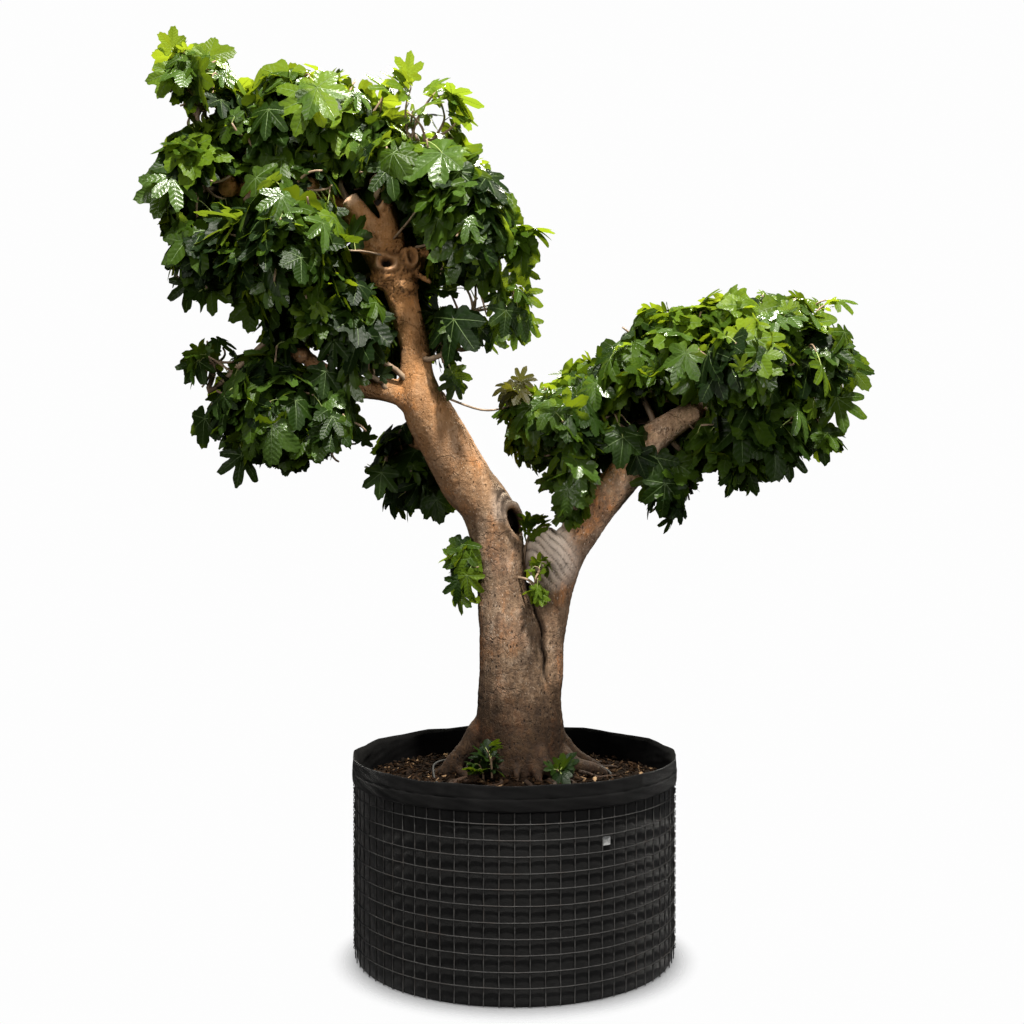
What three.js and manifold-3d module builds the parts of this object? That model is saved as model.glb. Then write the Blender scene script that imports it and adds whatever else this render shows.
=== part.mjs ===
// A fig tree with two leaning stems, growing in a round fabric pot that a cage of welded wire holds up.
// Millimetres, +Z up. The front is -Y, and the origin is the middle of the pot's flat underside.

import * as THREE from 'three';
import Module from 'manifold-3d';

const wasm = await Module();
wasm.setup();

// ---------------------------------------------------------------- driving dimensions

// Pot: wires 50 mm apart, 72 of them round, set the size of everything else.
const WIRE_PITCH = 50;
const WIRES_ROUND = 72;
const CAGE_RADIUS = WIRE_PITCH * WIRES_ROUND / (2 * Math.PI);
const WIRE = 4;
const POT_SIDES = 24; // every third upright wire is kept, and the pot's facets lie between those
const CAGE_FOOT = 2;
const CAGE_TOP = 660;
const FIRST_HOOP = 63;
const HOOP_PITCH = 106; // every second hoop is kept
const HOOPS = 6;
const FABRIC = 4;
const RIM_HEIGHT = 713;
const CUFF_RADIUS = 583;
const CUFF_DROP = 86; // the fabric is folded over the top of the cage
const SOIL_HEIGHT = 630;
const SOIL_EDGE_DROP = 10;
const GAP = 0.3; // between pieces that touch

// Tree
const FORK_HEIGHT = 1310; // above it the two stems are separate boughs
const LEADER_HEIGHT = 2010; // above it the left bough is the thin leader
const STEM_SIDES = 12;
const BOUGH_SIDES = 7;
const ROOT_SIDES = 6;
const TRUNK_FOOT = [30, 72];

// Foliage: each leaf of the source stands for a small spray, so it is larger than life.
const STALK_RADIUS = 13;
const STALK_STEPS = 4;
const HUB_RADIUS = 17;
const HUB_TIER = 24; // the hub at the stalk's top has two tiers of faces that shoots leave from
const SHOOT_RADIUS = 9;
const WHORL = 17; // the length of shoot that a ring of leaves grows from
const SHOOT_AREA = 25000; // square millimetres of a mass's middle section for each shoot
const SHOOT_SHARE = [0.34, 0.54]; // of the way from the hub to the mass's surface
const SHOOT_RISE = 0.15; // of the shoot's length
const SHOOT_BEND = 0.4; // of its length, from the hub to where it turns to its aim
const SHOOT_TRIES = 5;
const LEAVES_A_SHOOT = 4;
const LEAF_LONGEST = 300;
const LEAF_SHORTEST = 140;
const LEAF_WIDTH = 1; // of its length
const LEAF_THICKNESS = 0.026; // of its length
const LEAF_FORWARD = [0, 0.8]; // how far a leaf leans along its shoot
const LEAF_HANG = [-0.2, 1.4]; // and downwards
const LEAF_SCATTER = 0.8;
const LEAF_DROOP = 0.1; // of its length, at its tips
const LEAF_LEAST_LEAN = 0.15; // out of its face
const LEAF_TRIES = 24;
const SEED = 4100; // of the first mass; each later one adds the step
const SEED_STEP = 17;
const CLEARANCE = 1.2; // between the foliage of one mass and anything that is not its own
const OWN_OVERLAP = 1; // cubic millimetres, where neighbours on one shoot share an edge

const COLOURS = {
  fabric: 0x1b1b1d, wire: 0x303136, tag: 0x8d9092, soil: 0x4b3727, bark: 0x8b6f58, leaf: 0x3d6b1f,
};

// ---------------------------------------------------------------- small helpers

const vec = (p) => new THREE.Vector3(p[0], p[1], p[2]);
const mix = (a, b, t) => a + (b - a) * t;
const boxesMeet = (a, b) => [0, 1, 2].every((i) => a.min[i] <= b.max[i] && b.min[i] <= a.max[i]);

/** Seeded random numbers from 0 to 1, the same on every run. */
function randomFrom(seed) {
  let state = seed >>> 0;
  return () => {
    state = (state + 0x6D2B79F5) >>> 0;
    let t = state;
    t = Math.imul(t ^ (t >>> 15), t | 1);
    t ^= t + Math.imul(t ^ (t >>> 7), t | 61);
    return ((t ^ (t >>> 14)) >>> 0) / 4294967296;
  };
}

/** A solid for joining and cutting, from a flat list of coordinates and a flat list of corners. */
function solidFrom(coordinates, corners) {
  return new wasm.Manifold(new wasm.Mesh({
    numProp: 3,
    vertProperties: Float32Array.from(coordinates),
    triVerts: Uint32Array.from(corners),
  }));
}

/** A three.js geometry as a solid: its shared vertices are merged by place. */
function solidFromGeometry(geometry) {
  const position = geometry.getAttribute('position');
  const index = geometry.index ? Array.from(geometry.index.array) : [...Array(position.count).keys()];
  const seen = new Map();
  const coordinates = [];
  const renumbered = [];
  for (let i = 0; i < position.count; i++) {
    const p = [position.getX(i), position.getY(i), position.getZ(i)];
    const key = p.map((value) => Math.round(value * 1000)).join();
    if (!seen.has(key)) {
      seen.set(key, coordinates.length / 3);
      coordinates.push(...p);
    }
    renumbered.push(seen.get(key));
  }
  const corners = [];
  for (let i = 0; i < index.length; i += 3) {
    const [a, b, c] = [renumbered[index[i]], renumbered[index[i + 1]], renumbered[index[i + 2]]];
    if (a !== b && b !== c && c !== a) corners.push(a, b, c);
  }
  return solidFrom(coordinates, corners);
}

/** The biggest single body of a solid; loose scraps and the skins of sealed hollows are dropped. */
function biggestBody(solid) {
  return solid.decompose().sort((a, b) => b.volume() - a.volume())[0];
}

function geometryFromSolid(solid) {
  const mesh = solid.getMesh();
  const geometry = new THREE.BufferGeometry();
  geometry.setAttribute('position', new THREE.BufferAttribute(Float32Array.from(mesh.vertProperties), 3));
  geometry.setIndex(Array.from(mesh.triVerts));
  return geometry;
}

function named(name, geometry, colour, roughness, metalness = 0) {
  geometry.computeVertexNormals();
  const material = new THREE.MeshStandardMaterial({ color: colour, roughness, metalness });
  const mesh = new THREE.Mesh(geometry, material);
  mesh.name = name;
  return mesh;
}

// ---------------------------------------------------------------- limbs

/** A smooth tapering limb through stations [x, y, z, radius]; place(u) gives its middle and radius there. */
class Limb {
  constructor(stations) {
    this.radii = stations.map((station) => station[3]);
    this.curve = new THREE.CatmullRomCurve3(stations.map(vec), false, 'catmullrom', 0.5);
  }

  place(u) {
    const last = this.radii.length - 1;
    const at = Math.min(u * last, last - 1e-6);
    const from = Math.floor(at);
    return {
      middle: this.curve.getPoint(u),
      radius: mix(this.radii[from], this.radii[from + 1], at - from),
      along: this.curve.getTangent(u),
    };
  }

  /** Where along the limb its middle reaches a height. */
  atHeight(z) {
    let [low, high] = [0, 1];
    for (let step = 0; step < 40; step++) {
      const half = (low + high) / 2;
      if (this.curve.getPoint(half).z < z) low = half;
      else high = half;
    }
    return low;
  }
}

/** Two directions square to a limb, carried along it without twist. */
function squareTo(along, previous) {
  const side = previous.clone().addScaledVector(along, -previous.dot(along)).normalize();
  return [side, new THREE.Vector3().crossVectors(along, side)];
}

/** The solid of a limb between two places, with flat ends; swell makes it thicker all over. */
function limbSolid(limb, from, to, sides, rings, { swell = 0, lift = 0 } = {}) {
  const coordinates = [];
  const corners = [];
  let side = new THREE.Vector3(1, 0, 0.01);
  for (let ring = 0; ring <= rings; ring++) {
    const { middle, radius, along } = limb.place(mix(from, to, ring / rings));
    if (ring === 0) middle.addScaledVector(along, lift - swell);
    if (ring === rings) middle.addScaledVector(along, swell);
    const [first, second] = squareTo(along, side);
    side = first;
    for (let corner = 0; corner < sides; corner++) {
      const angle = 2 * Math.PI * corner / sides;
      const point = middle.clone()
        .addScaledVector(first, (radius + swell) * Math.cos(angle))
        .addScaledVector(second, (radius + swell) * Math.sin(angle));
      coordinates.push(point.x, point.y, point.z);
    }
  }
  const at = (ring, corner) => ring * sides + corner % sides;
  for (let ring = 0; ring < rings; ring++) {
    for (let corner = 0; corner < sides; corner++) {
      corners.push(at(ring, corner), at(ring, corner + 1), at(ring + 1, corner + 1));
      corners.push(at(ring, corner), at(ring + 1, corner + 1), at(ring + 1, corner));
    }
  }
  for (let corner = 1; corner < sides - 1; corner++) {
    corners.push(at(0, 0), at(0, corner + 1), at(0, corner));
    corners.push(at(rings, 0), at(rings, corner), at(rings, corner + 1));
  }
  return solidFrom(coordinates, corners);
}

/** A lump of wood: an ellipsoid of few faces. */
function lump(centre, radii, detail = 1) {
  const geometry = new THREE.IcosahedronGeometry(1, detail);
  geometry.scale(...radii).translate(...centre);
  return solidFromGeometry(geometry);
}

// The two stems, from inside the trunk to their tips.
const leftStem = new Limb([
  [-20, 70, 600, 132], [-18, 70, 900, 121], [-15, 70, 1117, 115], [-37, 70, 1264, 95], [-55, 70, 1410, 91],
  [-93, 66, 1593, 99], [-177, 50, 1710, 100], [-306, 10, 1945, 89], [-341, 0, 2045, 70], [-360, 0, 2180, 52],
  [-400, 0, 2330, 55], [-442, 0, 2489, 68],
]);
const rightStem = new Limb([
  [97, 75, 600, 95], [97, 75, 900, 77], [106, 75, 1080, 71], [134, 72, 1264, 70], [181, 68, 1410, 70],
  [250, 50, 1539, 67], [411, 15, 1750, 61], [489, 0, 1847, 51], [632, -10, 1944, 43],
]);

// Roots that leave the trunk above the soil: direction in degrees from +X, reach from its middle, radius.
const ROOTS = [
  [188, 318, 50], [232, 250, 40], [262, 236, 36], [312, 262, 44], [356, 322, 50],
  [38, 285, 44], [92, 270, 46], [140, 290, 44],
];

function rootLimb([degrees, reach, radius]) {
  const angle = THREE.MathUtils.degToRad(degrees);
  const at = (distance, z, r) => [
    TRUNK_FOOT[0] + distance * Math.cos(angle), TRUNK_FOOT[1] + distance * Math.sin(angle), z, r,
  ];
  return new Limb([
    at(50, 840, radius * 1.3),
    at(120, 735, radius * 1.25),
    at(190, 660, radius),
    at(reach, 604, radius * 0.55),
  ]);
}

// Boughs that leave a stem or another bough. Each starts inside its parent and is cut clear of it.
const BOUGHS = [
  { name: 'bough_upper_left',
    stations: [[-430, 0, 2420, 60], [-500, -8, 2535, 55], [-584, -20, 2684, 45]] },
  { name: 'bough_far_left',
    stations: [[-420, 20, 2440, 36], [-560, 42, 2640, 37], [-776, 10, 2744, 33], [-1016, -20, 2745, 24]] },
  { name: 'bough_top',
    stations: [[-436, 4, 2440, 40], [-450, 15, 2610, 36], [-479, 40, 2849, 20]] },
  { name: 'bough_back_left',
    stations: [[-400, 10, 2330, 40], [-405, 150, 2470, 34], [-385, 265, 2640, 24]] },
  { name: 'bough_upper_right',
    stations: [[-425, -10, 2410, 26], [-340, -14, 2500, 19], [-220, -30, 2590, 13]] },
  { name: 'bough_low_left',
    stations: [[-310, 5, 1950, 62], [-420, -5, 2016, 47], [-626, -30, 2054, 35], [-767, -45, 2160, 25]] },
  { name: 'bough_low_left_fork',
    stations: [[-585, -26, 2045, 31], [-690, -46, 2020, 28], [-762, -56, 1985, 25]] },
  { name: 'bough_behind',
    stations: [[-262, 22, 1862, 50], [-318, 140, 1838, 33], [-387, 232, 1850, 24]] },
  { name: 'bough_right_end',
    stations: [[545, -5, 1885, 38], [689, 26, 1976, 33], [835, 22, 2020, 28], [990, 20, 2080, 21]] },
  { name: 'bough_right_stub',
    stations: [[411, 15, 1760, 44], [528, -10, 1738, 29]] },
  { name: 'bough_right_inner',
    stations: [[336, 34, 1641, 44], [272, 70, 1720, 36], [215, 84, 1800, 27]] },
  { name: 'bough_right_back',
    stations: [[460, 6, 1810, 44], [540, 150, 1925, 34], [640, 262, 2030, 23]] },
];

const solids = {}; // every wooden piece by name
const clears = {}; // the same pieces grown by the gap, for cutting what meets them
const limbs = {}; // and their middle lines

function addLimb(name, limb, from, to, sides, rings, lift = 0) {
  limbs[name] = { limb, from, to };
  solids[name] = limbSolid(limb, from, to, sides, rings, { lift });
  clears[name] = limbSolid(limb, from, to, sides, rings, { swell: GAP, lift });
}

function addExtra(name, extra, grown) {
  solids[name] = solids[name].add(extra);
  clears[name] = clears[name].add(grown);
}

function buildStems() {
  const fork = [leftStem.atHeight(FORK_HEIGHT), rightStem.atHeight(FORK_HEIGHT)];
  const leaderFoot = leftStem.atHeight(LEADER_HEIGHT);
  const core = new Limb([
    [27, 72, 600, 176], [24, 72, 700, 163], [18, 71, 830, 152], [16, 70, 930, 128], [14, 70, 1010, 70],
  ]);
  const parts = [
    limbSolid(core, 0, 1, STEM_SIDES, 6),
    limbSolid(leftStem, 0, fork[0], STEM_SIDES, 5),
    limbSolid(rightStem, 0, fork[1], STEM_SIDES, 5),
    ...ROOTS.map((root) => limbSolid(rootLimb(root), 0, 1, ROOT_SIDES, 3)),
  ];
  const below = new THREE.BoxGeometry(1200, 1200, 200).translate(0, 0, SOIL_HEIGHT + GAP - 100);
  solids.trunk = biggestBody(wasm.Manifold.union(parts).subtract(solidFromGeometry(below)).simplify(1.5));
  clears.trunk = solids.trunk;

  addLimb('bough_left', leftStem, fork[0], leaderFoot, STEM_SIDES, 8, GAP);
  addLimb('leader', leftStem, leaderFoot, 1, STEM_SIDES, 6, GAP);
  addLimb('bough_right', rightStem, fork[1], 1, STEM_SIDES, 10, GAP);
}

/** Healed wounds: a hollow knot on the left bough, a burl on the right one and the leader's knotty head. */
function buildKnots() {
  const knot = { centre: [-20, 34, 1573], radii: [46, 48, 62] };
  const burl = { centre: [127, 56, 1440], radii: [77, 72, 94] };
  const head = { centre: [-428, -2, 2440], radii: [82, 78, 74] };
  const grown = (radii) => radii.map((radius) => radius + GAP);
  for (const [name, swelling] of [['bough_left', knot], ['bough_right', burl], ['leader', head]]) {
    addExtra(name, lump(swelling.centre, swelling.radii), lump(swelling.centre, grown(swelling.radii)));
  }
  const hollow = lump([14, 4, 1574], [24, 34, 36], 0);
  solids.bough_left = solids.bough_left.subtract(hollow);
}

/** Each bough is cut clear of every piece made before it, so that it ends just short of what it leaves. */
function buildBoughs() {
  for (const { name, stations } of BOUGHS) {
    const earlier = Object.values(clears);
    addLimb(name, new Limb(stations), 0, 1, BOUGH_SIDES, 2 * (stations.length - 1));
    let bough = solids[name];
    for (const clear of earlier) {
      if (boxesMeet(bough.boundingBox(), clear.boundingBox())) bough = bough.subtract(clear);
    }
    solids[name] = biggestBody(bough);
  }
  for (const name of Object.keys(solids)) solids[name] = biggestBody(solids[name].simplify(0.05));
}

// ---------------------------------------------------------------- foliage

// Each mass keeps inside an ellipsoid. Its stalk leaves a limb at a fraction of that limb's length.
// Rows: name, limb, fraction, the ellipsoid's centre and its half widths.
const MASSES = [
  ['left_tip', 'bough_far_left', 0.93, [-1130, -50, 3118], [205, 205, 225]],
  ['left_end', 'bough_far_left', 1, [-1145, -40, 2775], [205, 235, 230]],
  ['left_hang', 'bough_far_left', 0.88, [-1095, -70, 2475], [205, 215, 205]],
  ['left_top', 'bough_far_left', 0.66, [-790, 20, 3000], [250, 250, 235]],
  ['left_front', 'bough_far_left', 0.56, [-790, -190, 2490], [245, 220, 265]],
  ['left_back', 'bough_far_left', 0.74, [-945, 330, 2740], [280, 235, 300]],
  ['crown_middle', 'bough_upper_left', 1, [-590, 70, 2985], [200, 210, 225]],
  ['crown_top', 'bough_top', 1, [-325, 0, 2990], [215, 225, 240]],
  ['crown_right', 'bough_upper_right', 1, [-140, -60, 2620], [245, 250, 275]],
  ['crown_back', 'bough_back_left', 1, [-300, 340, 2770], [285, 235, 290]],
  ['crown_right_low', 'leader', 0.4, [-170, 50, 2270], [200, 205, 215]],
  ['crown_back_low', 'bough_back_left', 0.5, [-450, 360, 2350], [275, 205, 240]],
  ['low_front', 'bough_low_left', 0.62, [-665, -50, 2265], [275, 200, 190]],
  ['low_left', 'bough_low_left_fork', 1, [-865, -50, 1965], [250, 245, 270]],
  ['low_middle', 'bough_low_left_fork', 0.6, [-655, -70, 1885], [170, 185, 165]],
  ['low_left_tip', 'bough_low_left', 1, [-1085, 0, 2107], [130, 135, 135]],
  ['behind', 'bough_behind', 1, [-395, 290, 1755], [205, 195, 240]],
  ['trunk_tuft', 'bough_left', 0.2, [-205, 60, 1360], [84, 84, 132]],
  ['crotch_tuft', 'bough_left', 0.06, [86, -40, 1335], [66, 70, 95]],
  ['right_inner', 'bough_right_inner', 1, [140, -10, 1885], [250, 245, 215]],
  ['right_tuft', 'bough_right', 0.45, [268, -85, 1672], [95, 90, 115]],
  ['right_middle', 'bough_right', 0.8, [490, -30, 2120], [250, 240, 205]],
  ['right_top', 'bough_right_end', 0.6, [860, 0, 2225], [280, 255, 195]],
  ['right_tip', 'bough_right_end', 1, [1090, 0, 2100], [205, 235, 265]],
  ['right_low', 'bough_right_end', 0.5, [800, -60, 1845], [285, 245, 205]],
  ['right_hang', 'bough_right_stub', 1, [556, -20, 1655], [132, 135, 155]],
  ['right_back', 'bough_right_back', 1, [700, 350, 2100], [300, 205, 250]],
  ['right_back_left', 'bough_right_back', 0.5, [300, 320, 1985], [230, 195, 200]],
  ['right_front', 'bough_right_end', 0.3, [785, -285, 2085], [215, 175, 185]],
].map(([name, limb, at, centre, radii]) => ({ name, limb, at, centre, radii }));
// Where shoots leave the hub, in the order that they are used: its top, then faces of its two tiers.
const HUB_FACES = ['top', 'upper1', 'upper3', 'lower0', 'lower2', 'upper0', 'upper2', 'lower1', 'lower3'];

/** A closed skin of triangles that is grown face by face, so that what is fused on costs few of them. */
class Skin {
  coordinates = [];
  corners = [];

  point(place) {
    this.coordinates.push(place.x, place.y, place.z);
    return this.coordinates.length / 3 - 1;
  }

  place(point) {
    return new THREE.Vector3().fromArray(this.coordinates, 3 * point);
  }

  /** Points round a middle, anticlockwise seen from ahead. */
  ring(middle, along, reference, radius, sides, turn = 0) {
    const [first, second] = squareTo(along, reference);
    return Array.from({ length: sides }, (_, corner) => {
      const angle = turn + 2 * Math.PI * corner / sides;
      return this.point(middle.clone()
        .addScaledVector(first, radius * Math.cos(angle)).addScaledVector(second, radius * Math.sin(angle)));
    });
  }

  /** Faces between two loops of any size, stepping round both at an even pace. */
  bridge(lower, upper) {
    const below = (i) => lower[i % lower.length];
    const above = (j, shift) => upper[(j + shift) % upper.length];
    const gap = (a, b) => this.place(a).distanceTo(this.place(b));
    const pace = upper.length / lower.length;
    const spans = upper.map((_, shift) => (
      lower.reduce((sum, point, i) => sum + gap(point, above(Math.round(i * pace), shift)), 0)
    ));
    const shift = spans.indexOf(Math.min(...spans));
    let [i, j] = [0, 0];
    while (i < lower.length || j < upper.length) {
      const isBelow = j === upper.length || (i < lower.length && (i + 0.5) * pace <= j + 0.5);
      if (isBelow) this.corners.push(below(i), below(++i), above(j, shift));
      else this.corners.push(below(i), above(j + 1, shift), above(j++, shift));
    }
  }

  /** The four-cornered faces between two loops of one size, as loops that something can grow from. */
  faces(lower, upper) {
    return lower.map((point, i) => {
      const next = (i + 1) % lower.length;
      return [point, lower[next], upper[next], upper[i]];
    });
  }

  close(loop) {
    for (let i = 1; i < loop.length - 1; i++) this.corners.push(loop[0], loop[i], loop[i + 1]);
  }

  middle(loop) {
    const sum = loop.reduce((total, point) => total.add(this.place(point)), new THREE.Vector3());
    return sum.divideScalar(loop.length);
  }

  facing(loop) {
    const [a, b, c] = [this.place(loop[0]), this.place(loop[1]), this.place(loop[2])];
    return b.clone().sub(a).cross(c.sub(b)).normalize();
  }

  solid() {
    return solidFrom(this.coordinates, this.corners);
  }
}

/** A leaf of three lobes that grows out of a face: one raised point above its outline and one below. */
function growLeaf(skin, face, { direction, upperSide, length }, swell = 0) {
  const normal = upperSide.clone().addScaledVector(direction, -upperSide.dot(direction)).normalize();
  const across = new THREE.Vector3().crossVectors(normal, direction);
  const root = skin.middle(face);
  const half = LEAF_WIDTH * length / 2 + swell;
  const thick = LEAF_THICKNESS * length / 2 + swell;
  const reach = length + swell;
  const at = (u, v, w) => skin.point(root.clone()
    .addScaledVector(direction, u * reach).addScaledVector(across, v * half).addScaledVector(normal, w));
  // The face's corners in the order lower left, lower right, upper right, upper left of the leaf.
  const [sideways, upwards] = face.length === 4 ? [[-1, 1, 1, -1], [-1, -1, 1, 1]] : [[-1, 1, 0], [-1, -1, 1]];
  const scores = face.map((_, turn) => face.reduce((sum, __, i) => {
    const offset = skin.place(face[(i + turn) % face.length]).sub(root);
    return sum + offset.dot(across) * sideways[i] + offset.dot(normal) * upwards[i];
  }, 0));
  const turn = scores.indexOf(Math.max(...scores));
  const turned = face.map((_, i) => face[(i + turn) % face.length]);
  const [lowLeft, lowRight, highRight, highLeft = highRight] = turned;
  const droop = -LEAF_DROOP * length;
  const tip = at(1, 0, droop);
  const right = [at(0.5, 1, droop), at(0.66, 0.34, 0)];
  const left = [at(0.5, -1, droop), at(0.66, -0.34, 0)];
  const upper = [tip, right[1], right[0], highRight, highLeft, left[0], left[1]];
  const lower = [tip, left[1], left[0], lowLeft, lowRight, right[0], right[1]];
  for (const [peak, loop] of [[at(0.4, 0, thick), upper], [at(0.4, 0, -thick), lower]]) {
    loop.forEach((point, i) => {
      const next = loop[(i + 1) % loop.length];
      if (next !== point) skin.corners.push(peak, point, next);
    });
  }
  skin.corners.push(highRight, right[0], lowRight, highLeft, lowLeft, left[0]);
}

/** What grows from a loop, as a closed body by itself, for testing what it meets. */
function loneBody(skin, loop, grow) {
  const lone = new Skin();
  const foot = loop.map((point) => lone.point(skin.place(point)));
  lone.close([foot[0], ...foot.slice(1).reverse()]); // the same diagonal as the face that it stands on
  for (const open of grow(lone, foot)) lone.close(open);
  return lone.solid();
}

/** How far a ray from inside an ellipsoid runs to its surface. */
function reachInside(mass, start, direction) {
  let [a, b, c] = [0, 0, -1];
  for (const [i, axis] of ['x', 'y', 'z'].entries()) {
    const p = (start[axis] - mass.centre[i]) / mass.radii[i];
    const d = direction[axis] / mass.radii[i];
    a += d * d;
    b += 2 * p * d;
    c += p * p;
  }
  const root = b * b - 4 * a * c;
  return root > 0 ? (-b + Math.sqrt(root)) / (2 * a) : 0;
}

const obstacle = (owner, solid) => ({ owner, solid, box: solid.boundingBox() });

/** Whether a solid shares more than a little space with any of a list of obstacles. */
function meets(solid, obstacles, spare = 0) {
  const box = solid.boundingBox();
  return obstacles.some((other) => {
    if (!boxesMeet(box, other.box)) return false;
    const common = solid.intersect(other.solid);
    const found = common.volume() > spare;
    common.delete();
    return found;
  });
}

/** A mass's stalk runs from its limb to the hub near the middle of the mass, and ends there pointing up. */
function stalkOf(mass) {
  const { limb, from, to } = limbs[mass.limb];
  const { middle, radius, along } = limb.place(mix(from, to, mass.at));
  const isTip = mass.at === 1;
  const thick = Math.min(STALK_RADIUS, 0.8 * radius);
  const start = isTip ? middle.clone().addScaledVector(along, GAP) : middle;
  const foot = vec(mass.centre).add(new THREE.Vector3(0, 0, -0.16 * mass.radii[2] - HUB_TIER));
  const reach = foot.distanceTo(middle);
  const early = isTip ? start.clone().addScaledVector(along, 0.3 * reach) : start.clone().lerp(foot, 0.35);
  const points = [start, early, foot];
  return { start, along, thick, curve: new THREE.CatmullRomCurve3(points, false, 'catmullrom', 0.5) };
}

/** The stalk's skin, with the loops of the hub that shoots can grow from. */
function growStalk(mass) {
  const skin = new Skin();
  const { along, thick, curve } = mass.stalk;
  const up = new THREE.Vector3(0, 0, 1);
  let side = new THREE.Vector3(0.3, 1, 0.05);
  let previous = null;
  for (let step = 0; step <= STALK_STEPS; step++) {
    const share = step / STALK_STEPS;
    const ahead = step === 0 && mass.at === 1 ? along.clone() : curve.getTangent(share);
    if (step === STALK_STEPS) ahead.lerp(up, 0.6).normalize();
    const ring = skin.ring(curve.getPoint(share), ahead, side, mix(thick, HUB_RADIUS, share), 4);
    side = squareTo(ahead, side)[0];
    if (previous) skin.bridge(previous, ring);
    else skin.close([...ring].reverse());
    previous = ring;
  }
  const foot = curve.getPoint(1);
  const middle = skin.ring(foot.clone().addScaledVector(up, HUB_TIER), up, side, 1.1 * HUB_RADIUS, 4);
  const top = skin.ring(foot.clone().addScaledVector(up, 1.9 * HUB_TIER), up, side, 0.7 * HUB_RADIUS, 4);
  const loops = { top };
  skin.faces(previous, middle).forEach((face, i) => { loops[`lower${i}`] = face; });
  skin.faces(middle, top).forEach((face, i) => { loops[`upper${i}`] = face; });
  return { skin, loops };
}

/** A shoot leaves its face of the hub squarely and then curves to its own aim. */
function planShoot(mass, loop) {
  const { skin, random } = mass;
  const facing = skin.facing(loop);
  const aim = facing.clone()
    .add(new THREE.Vector3(random() - 0.5, random() - 0.5, -0.4 * random())).normalize();
  const length = mix(...SHOOT_SHARE, random()) * reachInside(mass, skin.middle(loop), aim);
  return { facing, aim, length };
}

/** A shoot of three-sided rings. Its end and the three faces behind it are left open, for leaves. */
function growShoot(skin, loop, { facing, aim, length }) {
  const root = skin.middle(loop);
  const up = new THREE.Vector3(0, 0, 1);
  const ahead = aim.clone().addScaledVector(up, 0.3).normalize();
  const reference = Math.abs(facing.z) > 0.8 ? new THREE.Vector3(1, 0, 0) : up;
  const end = root.clone().addScaledVector(aim, length).addScaledVector(up, SHOOT_RISE * length);
  const ring = (on, share) => {
    const middle = end.clone().addScaledVector(ahead, on);
    return skin.ring(middle, ahead, reference, share * SHOOT_RADIUS, 3, Math.PI / 2);
  };
  const bend = root.clone().addScaledVector(facing, SHOOT_BEND * length);
  const foot = skin.ring(bend, facing, reference, SHOOT_RADIUS, 3);
  const whorl = [ring(0, 0.9), ring(WHORL, 0.7)];
  skin.bridge(loop, foot);
  skin.bridge(foot, whorl[0]);
  return { ahead, faces: [whorl[1], ...skin.faces(...whorl)] };
}

/** Leaves lean out from their face and down, and turn their upper sides up and outwards. */
function planLeaf(mass, face, ahead, attempt) {
  const { skin, random } = mass;
  const root = skin.middle(face);
  const facing = skin.facing(face);
  const forward = mix(...LEAF_FORWARD, random());
  const hang = mix(...LEAF_HANG, random()) * (1 - 0.7 * Math.max(0, ahead.z));
  const scatter = () => LEAF_SCATTER * (random() - 0.5);
  const longest = mix(LEAF_LONGEST, LEAF_SHORTEST, attempt / LEAF_TRIES);
  const direction = facing.clone().addScaledVector(ahead, forward)
    .add(new THREE.Vector3(scatter(), scatter(), -hang)).normalize();
  const length = Math.min(longest, mix(0.96, 1, random()) * reachInside(mass, root, direction));
  const isShort = length < Math.min(LEAF_SHORTEST, 0.7 * Math.min(...mass.radii));
  if (isShort || direction.dot(facing) < LEAF_LEAST_LEAN) return null;
  const outward = root.sub(vec(mass.centre)).normalize();
  const upperSide = outward.multiplyScalar(1.2).add(new THREE.Vector3(0, 0, 0.7));
  return { direction, upperSide, length };
}

/** The obstacles that belong to a mass, and all the others. */
function sorted(obstacles, mass) {
  return [true, false].map((isOwn) => obstacles.filter(({ owner }) => (owner === mass.name) === isOwn));
}

/** Grows one shoot where it meets nothing, or closes its face. */
function placeShoot(mass, loop, obstacles) {
  const [own, others] = sorted(obstacles, mass);
  for (let attempt = 0; attempt < SHOOT_TRIES; attempt++) {
    const plan = planShoot(mass, loop);
    const body = loneBody(mass.skin, loop, (skin, foot) => growShoot(skin, foot, plan).faces);
    if (meets(body, others) || meets(body, own, OWN_OVERLAP)) continue;
    mass.shoots.push(growShoot(mass.skin, loop, plan));
    obstacles.push(obstacle(mass.name, body));
    return;
  }
  mass.skin.close(loop);
}

/** Grows one leaf where it meets nothing, or closes its face. */
function placeLeaf(mass, face, ahead, obstacles) {
  const { skin } = mass;
  const [own, others] = sorted(obstacles, mass);
  const lone = (leaf, swell) => loneBody(skin, face, (body, foot) => {
    growLeaf(body, foot, leaf, swell);
    return [];
  });
  for (let attempt = 0; attempt < LEAF_TRIES; attempt++) {
    const leaf = planLeaf(mass, face, ahead, attempt);
    if (!leaf || meets(lone(leaf, CLEARANCE), others)) continue;
    const body = lone(leaf, 0);
    if (meets(body, own, OWN_OVERLAP)) continue;
    growLeaf(skin, face, leaf);
    obstacles.push(obstacle(mass.name, body));
    mass.leaves += 1;
    return;
  }
  skin.close(face);
}

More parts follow.
